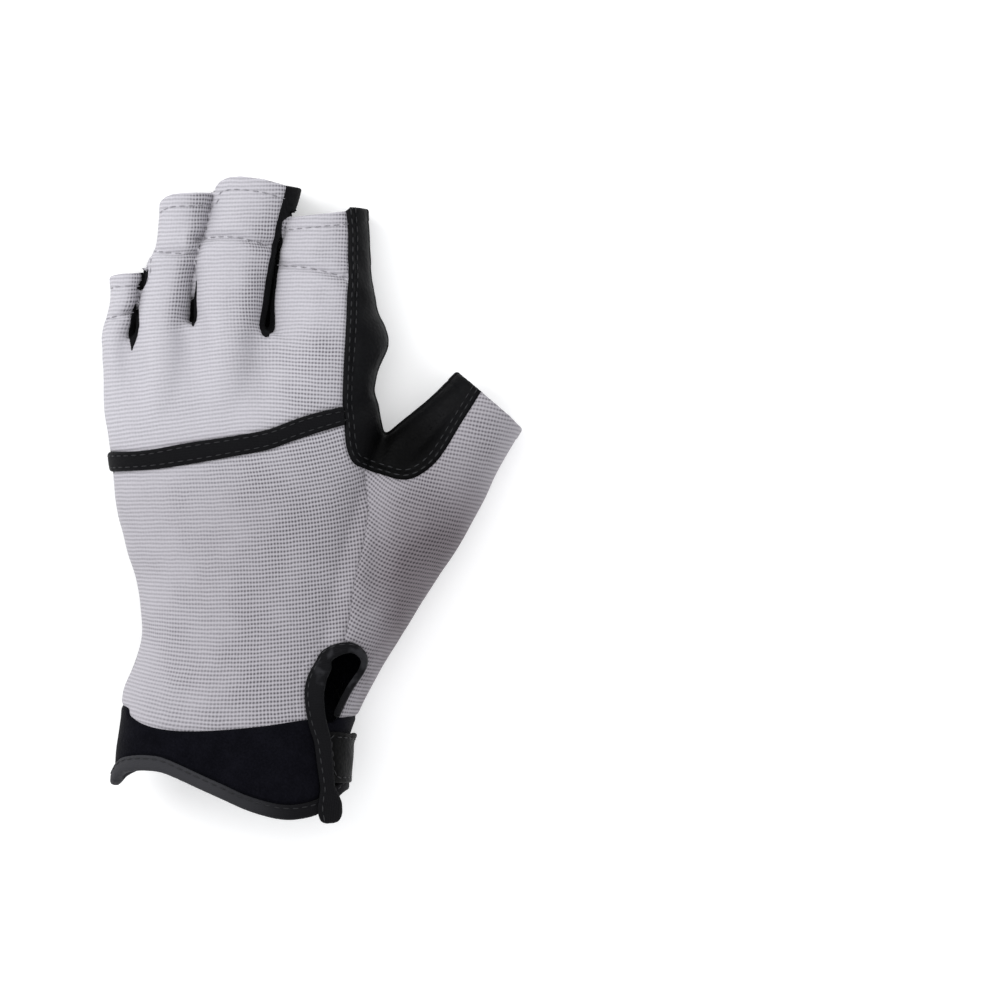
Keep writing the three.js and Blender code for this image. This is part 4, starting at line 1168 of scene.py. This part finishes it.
def stitch_tree(material):
    """Geometry nodes that set stitches one after another along lines."""
    tree = bpy.data.node_groups.new("stitches", "GeometryNodeTree")
    face = tree.interface
    face.new_socket("Geometry", in_out="INPUT", socket_type="NodeSocketGeometry")
    for name in ("Stitch length", "Space", "Thread"):
        face.new_socket(name, in_out="INPUT", socket_type="NodeSocketFloat")
    face.new_socket("Geometry", in_out="OUTPUT", socket_type="NodeSocketGeometry")
    nodes, links = tree.nodes, tree.links

    def node(kind, **inputs):
        made = nodes.new(kind)
        for key, value in inputs.items():
            key = key.replace("_", " ")
            if isinstance(value, bpy.types.NodeSocket):
                links.new(value, made.inputs[key])
            else:
                made.inputs[key].default_value = value
        return made

    def arithmetic(operation, one, other):
        made = nodes.new("ShaderNodeMath")
        made.operation = operation
        for socket, value in zip(made.inputs, (one, other)):
            if isinstance(value, bpy.types.NodeSocket):
                links.new(value, socket)
            else:
                socket.default_value = value
        return made.outputs[0]

    given = nodes.new("NodeGroupInput").outputs
    curve = node("GeometryNodeMeshToCurve", Mesh=given["Geometry"])
    spread = nodes.new("GeometryNodeResampleCurve")
    spread.mode = "LENGTH"
    links.new(curve.outputs[0], spread.inputs["Curve"])
    links.new(arithmetic("ADD", given["Stitch length"], given["Space"]), spread.inputs["Length"])
    ball = node("GeometryNodeMeshUVSphere", Segments=6, Rings=5, Radius=0.5)
    tangent = nodes.new("GeometryNodeInputTangent")
    turn = nodes.new("FunctionNodeAlignRotationToVector")
    turn.axis = "Z"
    links.new(tangent.outputs[0], turn.inputs["Vector"])
    size = nodes.new("ShaderNodeCombineXYZ")
    for key, socket in zip("XYZ", (given["Thread"], given["Thread"], given["Stitch length"])):
        links.new(socket, size.inputs[key])
    placed = nodes.new("GeometryNodeInstanceOnPoints")
    links.new(spread.outputs[0], placed.inputs["Points"])
    links.new(ball.outputs["Mesh"], placed.inputs["Instance"])
    links.new(turn.outputs[0], placed.inputs["Rotation"])
    links.new(size.outputs[0], placed.inputs["Scale"])
    real = node("GeometryNodeRealizeInstances", Geometry=placed.outputs[0])
    smooth_faces = node("GeometryNodeSetShadeSmooth", Geometry=real.outputs[0])
    painted = node("GeometryNodeSetMaterial", Geometry=smooth_faces.outputs[0], Material=material)
    out = nodes.new("NodeGroupOutput")
    links.new(painted.outputs[0], out.inputs["Geometry"])
    return tree


def plain_mesh(made, name):
    """A plain mesh object from an object whose modifiers make its shape."""
    bpy.context.view_layer.update()
    evaluated = made.evaluated_get(bpy.context.evaluated_depsgraph_get())
    mesh = bpy.data.meshes.new_from_object(evaluated)
    bpy.data.objects.remove(made)
    mesh.name = name
    piece = bpy.data.objects.new(name, mesh)
    bpy.context.scene.collection.objects.link(piece)
    return piece


# Properties

class GloveSizes(bpy.types.PropertyGroup):
    """Sizes of the cloth, trims and stitches"""

    wall: bpy.props.FloatProperty(name="Wall", description="Thickness of knit and leather", default=0.0013,
                                  unit="LENGTH", precision=5)
    hem: bpy.props.FloatProperty(name="Hem", description="Extra thickness where an edge is folded in",
                                 default=0.0007, unit="LENGTH", precision=5)
    hem_width: bpy.props.FloatProperty(name="Hem width", description="Distance of the hem's stitches from the edge",
                                       default=0.0042, unit="LENGTH", precision=5)
    seam_depth: bpy.props.FloatProperty(name="Seam depth", description="How deep a seam draws the cloth in",
                                        default=0.0005, unit="LENGTH", precision=5)
    welt_rise: bpy.props.FloatProperty(name="Welt rise", description="How far the knuckle welt stands proud",
                                       default=0.0011, unit="LENGTH", precision=5)
    binding_width: bpy.props.FloatProperty(name="Binding width", description="Width of the tape round the cuff",
                                           default=0.0047, unit="LENGTH", precision=5)
    binding_rise: bpy.props.FloatProperty(name="Binding rise", description="How far the cuff's tape stands proud",
                                          default=0.0007, unit="LENGTH", precision=5)
    tab_width: bpy.props.FloatProperty(name="Tab width", description="Width of the wrist tab", default=0.016,
                                       unit="LENGTH", precision=5)
    tab_lift: bpy.props.FloatProperty(name="Tab lift", description="Height of the tab's underside over the cuff",
                                      default=0.0007, unit="LENGTH", precision=5)
    tab_thickness: bpy.props.FloatProperty(name="Tab thickness", description="Thickness of the wrist tab",
                                           default=0.0015, unit="LENGTH", precision=5)
    row_pitch: bpy.props.FloatProperty(name="Row pitch", description="Distance between the knit's rows",
                                       default=0.00128, unit="LENGTH", precision=5)
    column_pitch: bpy.props.FloatProperty(name="Column pitch", description="Distance between the knit's columns",
                                          default=0.00102, unit="LENGTH", precision=5)
    grain: bpy.props.FloatProperty(name="Grain", description="Size of the leather's grain", default=0.0011,
                                   unit="LENGTH", precision=5)
    twill_pitch: bpy.props.FloatProperty(name="Twill pitch", description="Distance between the tape's diagonals",
                                         default=0.0008, unit="LENGTH", precision=5)
    stitch: bpy.props.FloatProperty(name="Stitch", description="Length of one stitch", default=0.0021,
                                    unit="LENGTH", precision=5)
    stitch_space: bpy.props.FloatProperty(name="Stitch space", description="Space between two stitches",
                                          default=0.0009, unit="LENGTH", precision=5)
    thread: bpy.props.FloatProperty(name="Thread", description="Thickness of the thread", default=0.00045,
                                    unit="LENGTH", precision=5)


class GloveFinish(bpy.types.PropertyGroup):
    """Colours of the glove and of the floor"""

    knit_yarn: bpy.props.FloatVectorProperty(name="Knit yarn", description="Colour on top of the knit's loops",
                                             default=(0.53, 0.517, 0.556), subtype="COLOR")
    knit_gap: bpy.props.FloatVectorProperty(name="Knit gap", description="Colour between the knit's loops",
                                            default=(0.1, 0.094, 0.108), subtype="COLOR")
    # Multiplied over the knit as painted shade towards the thumb side and the wrist, and a little where the knit's
    # gaps are open
    knit_shade: bpy.props.FloatVectorProperty(name="Knit shade", description="Tint where the knit is stretched",
                                              default=(0.385, 0.348, 0.352), subtype="COLOR")
    leather: bpy.props.FloatVectorProperty(name="Leather", description="Colour of the leather",
                                           default=(0.005, 0.0052, 0.006), subtype="COLOR")
    leather_dark: bpy.props.FloatVectorProperty(name="Leather in its grain", description="Colour between the grain",
                                                default=(0.003, 0.003, 0.0035), subtype="COLOR")
    pile: bpy.props.FloatVectorProperty(name="Pile", description="Colour deep in the cuff's pile",
                                        default=(0.0016, 0.0016, 0.003), subtype="COLOR")
    pile_tip: bpy.props.FloatVectorProperty(name="Pile tips", description="Colour at the tips of the pile",
                                            default=(0.005, 0.005, 0.008), subtype="COLOR")
    tape: bpy.props.FloatVectorProperty(name="Tape", description="Colour of the tapes", default=(0.002, 0.002, 0.0025),
                                        subtype="COLOR")
    tape_light: bpy.props.FloatVectorProperty(name="Tape light", description="Colour of the tapes' raised threads",
                                              default=(0.006, 0.006, 0.0072), subtype="COLOR")
    # Painted light on the folded tapes
    tape_lit: bpy.props.FloatVectorProperty(name="Folded tape", description="Colour of the lit folds of the tapes",
                                            default=(0.034, 0.034, 0.038), subtype="COLOR")
    grey_thread: bpy.props.FloatVectorProperty(name="Grey thread", description="Thread of the knit's hems",
                                               default=(0.34, 0.33, 0.36), subtype="COLOR")
    black_thread: bpy.props.FloatVectorProperty(name="Black thread", description="Thread of leather and tapes",
                                                default=(0.012, 0.012, 0.0145), subtype="COLOR")
    floor: bpy.props.FloatVectorProperty(name="Floor", description="Colour of the floor", default=(0.9, 0.9, 0.9),
                                         subtype="COLOR")


made = {}


def in_mm(name):
    return getattr(bpy.context.scene.glove_sizes, name) / MM


def cloth():
    """The glove's cut-up outside, made once."""
    if "cloth" not in made:
        step = 0.7
        made["cloth"] = Cloth(step, in_mm("tab_width"), in_mm("binding_width"))
    return made["cloth"]


def finish_for(slot):
    """The material of a slot, made once."""
    makers = {"knit": knit_material, "leather": leather_material, "cuff_cloth": pile_material,
              "tape": tape_material, "folded_tape": lambda finish, sizes: tape_material(finish, sizes, True)}
    if slot not in made:
        scene = bpy.context.scene
        made[slot] = makers[slot](scene.glove_finish, scene.glove_sizes)
    return made[slot]


def sew(name, points, faces, normals, values, distances, colour_name="black_stitches"):
    """Rows of stitches on a panel at the given distances from one of its borders."""
    for distance in distances:
        found = level_line(points, faces, values, distance, normals * 0.08)
        if len(found[1]) > 4:
            stitch_rows[colour_name].append(found)


def sign(slot):
    """Up for knit and down for leather: the side whose hems show their stitches."""
    return 1 if slot == "knit" else -1


def make_panel(name, rise=0.0, edge_half=None, strip=0.0, rows=()):
    """One panel of the shell, with its seams drawn in or its tape raised, and its free edges folded."""
    shell = cloth()
    used, faces = picked(shell.faces[shell.panel == PANELS.index(name)])
    points, normals = shell.points[used], shell.normals[used]
    to_seam = nearest(points, shell.border_of(name))
    to_edge = nearest(points, shell.border_of(name, "edge"))
    wall, hem, hem_width = in_mm("wall"), in_mm("hem"), in_mm("hem_width")
    slot = SLOTS[name]
    folded = hem * ease(to_edge, hem_width + 0.5, hem_width - 0.5) if slot in ("knit", "leather") else 0.0
    half = (edge_half if edge_half else wall / 2) + folded / 2
    middle = -wall / 2 - folded * 0.3
    outer = middle + half * swell(to_edge, half)
    inner = middle - half * swell(to_edge, half)
    if rise:
        outer += rise * swell(to_seam, 1.3) - 0.25 * ridge(to_seam, 1.25, 0.35)
    else:
        outer -= in_mm("seam_depth") * ridge(to_seam, 0, 0.75)
    if strip:
        outer += 0.45 * (1 - ease(to_seam, strip - 0.3, strip + 0.3)) * swell(to_seam, 0.9)
    outer -= 0.16 * ridge(to_edge, hem_width, 0.4) * (1 if slot in ("knit", "leather") else 0)
    outside = points + normals * outer[:, None]
    inside = points + normals * inner[:, None]
    lengths = None
    if slot == "knit":
        lengths = unroll(points, faces, normals, row_slope(name, points))
        lengths = np.vstack((lengths, lengths))
    for others, distances, thread in rows:
        if others == "edge":
            values = np.where((to_seam > 0.5) & (normals[:, 2] * sign(slot) > 0.3), to_edge, np.nan)
        else:
            values = np.where(to_edge > 0.9, nearest(points, shell.border_of(name, others)), np.nan)
        sew(name, outside, faces, normals, values, distances, thread)
    outside_count = len(faces)
    points, faces = walled(outside, inside, faces)
    piece = new_object("sewn_" + name, points, faces, finish_for(PAINTED_LIGHT_TAPES.get(name, slot)), lengths)
    if slot == "knit":
        # The knit's gap openness, partly painted shade on faces turned towards +X
        layer = piece.data.attributes.new("stretch", "FLOAT", "POINT")
        layer.data.foreach_set("value", np.tile(openness(name, points[:len(outside)], normals), 2))
    # Painted shade: the inside faces take the black pile
    if name in SHADED_INSIDE:
        piece.data.materials.append(finish_for("cuff_cloth"))
        shaded_inside = np.zeros(len(faces), np.int32)
        shaded_inside[outside_count:2 * outside_count] = 1
        piece.data.polygons.foreach_set("material_index", shaded_inside)
    return hand_over(piece, slot, name)


# Operators

class GLOVE_OT_knit(bpy.types.Operator):
    """Make the knit panels of the back and the thumb"""

    bl_idname = "glove.knit"
    bl_label = "Knit panels"

    def execute(self, context):
        hem = context.scene.glove_sizes.hem_width / MM
        make_panel("knuckle_panel", rows=(("edge", (hem,), "grey_stitches"),))
        shell = cloth()
        used, faces = picked(shell.faces[shell.panel == PANELS.index("knuckle_panel")])
        points, normals = shell.points[used], shell.normals[used]
        for line in CROSS_SEAMS:
            path = seam(line)
            beside = points[:, 1] - np.interp(points[:, 0], path[:, 0], path[:, 1], np.nan, np.nan)
            beside[normals[:, 2] < 0.35] = np.nan
            sew("cross seam", points, faces, normals, beside, (0.0,), "grey_stitches")
        make_panel("lower_back_panel")
        make_panel("thumb_panel")
        return {"FINISHED"}


class GLOVE_OT_leather(bpy.types.Operator):
    """Make the leather panels with their topstitching"""

    bl_idname = "glove.leather"
    bl_label = "Leather panels"

    def execute(self, context):
        hem = context.scene.glove_sizes.hem_width / MM
        sewn = ("thumb_panel", "lower_back_panel", "knuckle_panel", "knuckle_welt")
        make_panel("index_strip", strip=2.0, rows=((sewn, (1.2, 3.1), "black_stitches"),
                                                   ("edge", (hem,), "black_stitches")))
        make_panel("palm_panel", rows=((("finger_palm_panel",), (1.2,), "black_stitches"),
                                       ("edge", (hem,), "black_stitches")))
        make_panel("finger_palm_panel", rows=((("palm_panel",), (1.6, 4.0), "black_stitches"),
                                              ("edge", (hem,), "black_stitches")))
        make_panel("thenar_patch", rows=((("palm_panel",), (1.5,), "black_stitches"),))
        return {"FINISHED"}


class GLOVE_OT_trims(bpy.types.Operator):
    """Make the side strips between the stalls, the knuckle welt and the cuff's binding"""

    bl_idname = "glove.trims"
    bl_label = "Strips and tapes"

    def execute(self, context):
        sizes = context.scene.glove_sizes
        for between in STALL_SPACES:
            make_panel("fourchette_" + between)
        make_panel("knuckle_welt", rise=sizes.welt_rise / MM,
                   rows=((("knuckle_panel", "lower_back_panel"), (1.25,), "black_stitches"),))
        rise = sizes.binding_rise / MM
        make_panel("cuff_binding", rise=rise, edge_half=in_mm("wall") / 2 + rise,
                   rows=((("cuff_back", "cuff_palm"), (1.1,), "black_stitches"),))
        return {"FINISHED"}


class GLOVE_OT_cuff(bpy.types.Operator):
    """Make the cloth of the cuff"""

    bl_idname = "glove.cuff"
    bl_label = "Cuff"

    def execute(self, context):
        make_panel("cuff_back", rows=(("edge", (3.0,), "black_stitches"),))
        make_panel("cuff_palm")
        return {"FINISHED"}


class GLOVE_OT_tab(bpy.types.Operator):
    """Make the wrist tab that lies over the cuff"""

    bl_idname = "glove.tab"
    bl_label = "Wrist tab"

    def execute(self, context):
        shell = cloth()
        used, faces = picked(shell.faces[shell.in_tab])
        points, normals = shell.points[used], shell.normals[used]
        sides = np.vstack([faces[:, (k, (k + 1) % 3)] for k in range(3)])
        key, twin = sides @ (len(points), 1), sides @ (1, len(points))
        start, end = (points[sides[~np.isin(key, twin), k]] for k in (0, 1))
        to_edge = nearest(points, np.vstack([start + (end - start) * share for share in (0, 0.25, 0.5, 0.75)]))
        half = in_mm("tab_thickness") / 2
        middle = in_mm("tab_lift") + half
        outer = middle + half * swell(to_edge, half) - 0.18 * ridge(to_edge, 1.8, 0.4)
        inner = middle - half * swell(to_edge, half)
        outside = points + normals * outer[:, None]
        sew("wrist_tab", outside, faces, normals, to_edge, (1.8,))
        points, faces = walled(outside, points + normals * inner[:, None], faces)
        hand_over(new_object("sewn_wrist_tab", points, faces, finish_for("leather")), "leather", "wrist_tab")
        return {"FINISHED"}


class GLOVE_OT_slit(bpy.types.Operator):
    """Make the folded tape round the slit, standing up in a loop"""

    bl_idname = "glove.slit"
    bl_label = "Slit tape"

    def execute(self, context):
        path = smooth(seam(SLIT_LOOP)[::3], 10)
        run = np.concatenate(((0,), np.cumsum(np.linalg.norm(np.diff(path, axis=0), axis=1))))
        share = run / run[-1]
        spine = cloth().field.top(path)
        spine[:, 2] = np.convolve(np.pad(spine[:, 2], 4, mode="edge"), np.ones(9) / 9, "valid")
        ahead = np.gradient(spine, axis=0)
        ahead /= np.linalg.norm(ahead, axis=1)[:, None]
        lean = np.column_stack(cloth().field.read(spine, *cloth().field.slopes))
        up = lean - ahead * (lean * ahead).sum(1)[:, None]
        up /= np.linalg.norm(up, axis=1)[:, None]
        inward = np.cross(ahead, up)
        width = np.interp(share, (0, 0.07, 0.13, 0.33, 0.5, 0.62, 0.72, 0.82, 1), (9.3, 8.8, 4.9, 5.6, 6.4, 5.4, 3.2, 2.6, 2.4))
        tilt = np.radians(np.interp(share, (0, 0.1, 0.35, 0.5, 0.62, 0.75, 1), (4, 8, 20, 26, 30, 40, 36)))
        ends = np.minimum(run, run[-1] - run)
        width = width * (0.3 + 0.7 * swell(ends, 4.0))
        corners = 20
        angle = np.linspace(0, math.tau, corners, endpoint=False)
        flat = np.sign(np.cos(angle)) * np.abs(np.cos(angle)) ** 0.6 / 2
        thick = np.sign(np.sin(angle)) * np.abs(np.sin(angle)) ** 0.8 * (0.95 + 0.5 * flat)
        thick = thick * (swell(ends, 1.0)[:, None] * 0.9 + 0.1)
        lie = width[:, None] * flat
        u = lie * np.cos(tilt)[:, None] - thick * np.sin(tilt)[:, None]
        v = lie * np.sin(tilt)[:, None] + thick * np.cos(tilt)[:, None]
        base = 1.4 + width * np.sin(tilt) / 2
        points = (spine[:, None] + inward[:, None] * u[..., None]
                  + up[:, None] * (v + base[:, None])[..., None]).reshape(-1, 3)
        count = len(spine)
        ring = np.arange(corners)
        quads = []
        for k in range(count - 1):
            here, there = k * corners + ring, (k + 1) * corners + ring
            quads.append(np.column_stack((here, np.roll(here, -1), np.roll(there, -1), there)))
        faces = triangles(points, np.vstack(quads))
        caps = []
        for end, turn in ((0, 1), (count - 1, -1)):
            first = end * corners
            fan = np.column_stack((np.full(corners - 2, first), first + ring[2:], first + ring[1:-1]))
            caps.append(fan[:, ::turn])
        faces = np.vstack((faces, *caps))
        facing = normals_of(points, faces)
        middle = np.repeat(spine + up * base[:, None], corners, 0)
        if ((points - middle) * facing).sum() < 0:
            faces = faces[:, ::-1]
        hand_over(new_object("sewn_slit_binding", points, faces, finish_for("folded_tape")), "tape", "slit_binding")
        outer_edge = -width / 2 + 1.2
        row = (spine + inward * (outer_edge * np.cos(tilt) - 0.75 * np.sin(tilt))[:, None]
               + up * (outer_edge * np.sin(tilt) + 0.75 * np.cos(tilt) + base)[:, None])[6:-6]
        numbers = np.arange(len(row))
        stitch_rows["black_stitches"].append((row, np.column_stack((numbers[:-1], numbers[1:]))))
        return {"FINISHED"}


class GLOVE_OT_stitches(bpy.types.Operator):
    """Set the stitches along the rows that the panels left"""

    bl_idname = "glove.stitches"
    bl_label = "Stitches"

    def execute(self, context):
        sizes, finish = context.scene.glove_sizes, context.scene.glove_finish
        tints = {"grey_stitches": finish.grey_thread, "black_stitches": finish.black_thread}
        slots = {"grey_stitches": "knit", "black_stitches": "tape"}
        for name, rows in stitch_rows.items():
            if not rows:
                continue
            starts = np.cumsum([0] + [len(points) for points, _ in rows[:-1]])
            points = np.vstack([points for points, _ in rows]) * MM
            edges = np.vstack([edges + start for (_, edges), start in zip(rows, starts)])
            mesh = bpy.data.meshes.new(name)
            mesh.from_pydata(points.tolist(), edges.tolist(), [])
            lines = bpy.data.objects.new(name + "_lines", mesh)
            context.scene.collection.objects.link(lines)
            tree = stitch_tree(thread_material(name + "_thread", tuple(tints[name])))
            modifier = lines.modifiers.new("Stitches", "NODES")
            modifier.node_group = tree
            values = {"Stitch length": sizes.stitch, "Space": sizes.stitch_space, "Thread": sizes.thread}
            for socket in tree.interface.items_tree:
                if socket.name in values:
                    modifier[socket.identifier] = values[socket.name]
            hand_over(plain_mesh(lines, name), slots[name])
        return {"FINISHED"}


class GLOVE_OT_stage(bpy.types.Operator):
    """Make the floor, the lights and the camera"""

    bl_idname = "glove.stage"
    bl_label = "Stage"

    def execute(self, context):
        scene = context.scene
        reach = 2500.0
        corners = np.array(((-reach, -reach, 0), (reach, -reach, 0), (reach, reach, 0), (-reach, reach, 0)), float)
        drop = np.array((0, 0, -0.1))
        floor = new_object("floor", corners + drop, np.array(((0, 1, 2), (0, 2, 3))),
                           floor_material(tuple(scene.glove_finish.floor)))
        world = bpy.data.worlds.new("studio")
        world.use_nodes = True
        background = world.node_tree.nodes["Background"]
        background.inputs["Color"].default_value = (0.97, 0.98, 1.0, 1.0)
        background.inputs["Strength"].default_value = 0.74
        scene.world = world
        scene.view_settings.view_transform = "Standard"
        lamps = (("key", (-0.9, 0.5, 0.9), 0.8, 8.5), ("top", (0.0, 0.2, 1.9), 1.8, 12.5))
        for name, spot, size, power in lamps:
            data = bpy.data.lights.new(name, "AREA")
            data.size, data.energy = size, power
            lamp = bpy.data.objects.new(name, data)
            lamp.location = spot
            lamp.rotation_mode = "QUATERNION"
            lamp.rotation_quaternion = (-Vector(spot)).to_track_quat("-Z", "Y")
            scene.collection.objects.link(lamp)
        # The glove's middle is left of the picture's, whose side is this long at the height of the glove's outline
        picture_side, outline_height, camera_height = 0.317, 0.015, 2.5
        picture_middle = (0.0596, 0.0003)
        data = bpy.data.cameras.new("camera")
        data.lens = data.sensor_width * (camera_height - outline_height) / picture_side
        camera = bpy.data.objects.new("camera", data)
        camera.location = (*picture_middle, camera_height)
        scene.collection.objects.link(camera)
        scene.camera = camera
        return {"FINISHED"}


class GLOVE_PT_panel(bpy.types.Panel):
    """Sizes, colours and the steps that make the glove"""

    bl_idname = "GLOVE_PT_panel"
    bl_label = "Trekking glove"
    bl_space_type = "VIEW_3D"
    bl_region_type = "UI"
    bl_category = "Glove"

    def draw(self, context):
        for operator in OPERATORS:
            self.layout.operator(operator.bl_idname)
        for group in (context.scene.glove_sizes, context.scene.glove_finish):
            box = self.layout.box()
            for name in group.bl_rna.properties.keys():
                if name not in ("rna_type", "name"):
                    box.prop(group, name)


OPERATORS = (GLOVE_OT_knit, GLOVE_OT_leather, GLOVE_OT_trims, GLOVE_OT_cuff, GLOVE_OT_tab, GLOVE_OT_slit,
             GLOVE_OT_stitches, GLOVE_OT_stage)
CLASSES = (GloveSizes, GloveFinish, *OPERATORS, GLOVE_PT_panel)


def register():
    for entry in CLASSES:
        bpy.utils.register_class(entry)
    bpy.types.Scene.glove_sizes = bpy.props.PointerProperty(type=GloveSizes)
    bpy.types.Scene.glove_finish = bpy.props.PointerProperty(type=GloveFinish)


def unregister():
    del bpy.types.Scene.glove_finish
    del bpy.types.Scene.glove_sizes
    for entry in reversed(CLASSES):
        bpy.utils.unregister_class(entry)


def main():
    register()
    for operator in OPERATORS:
        group, name = operator.bl_idname.split(".")
        getattr(getattr(bpy.ops, group), name)()


if __name__ == "__main__":
    main()
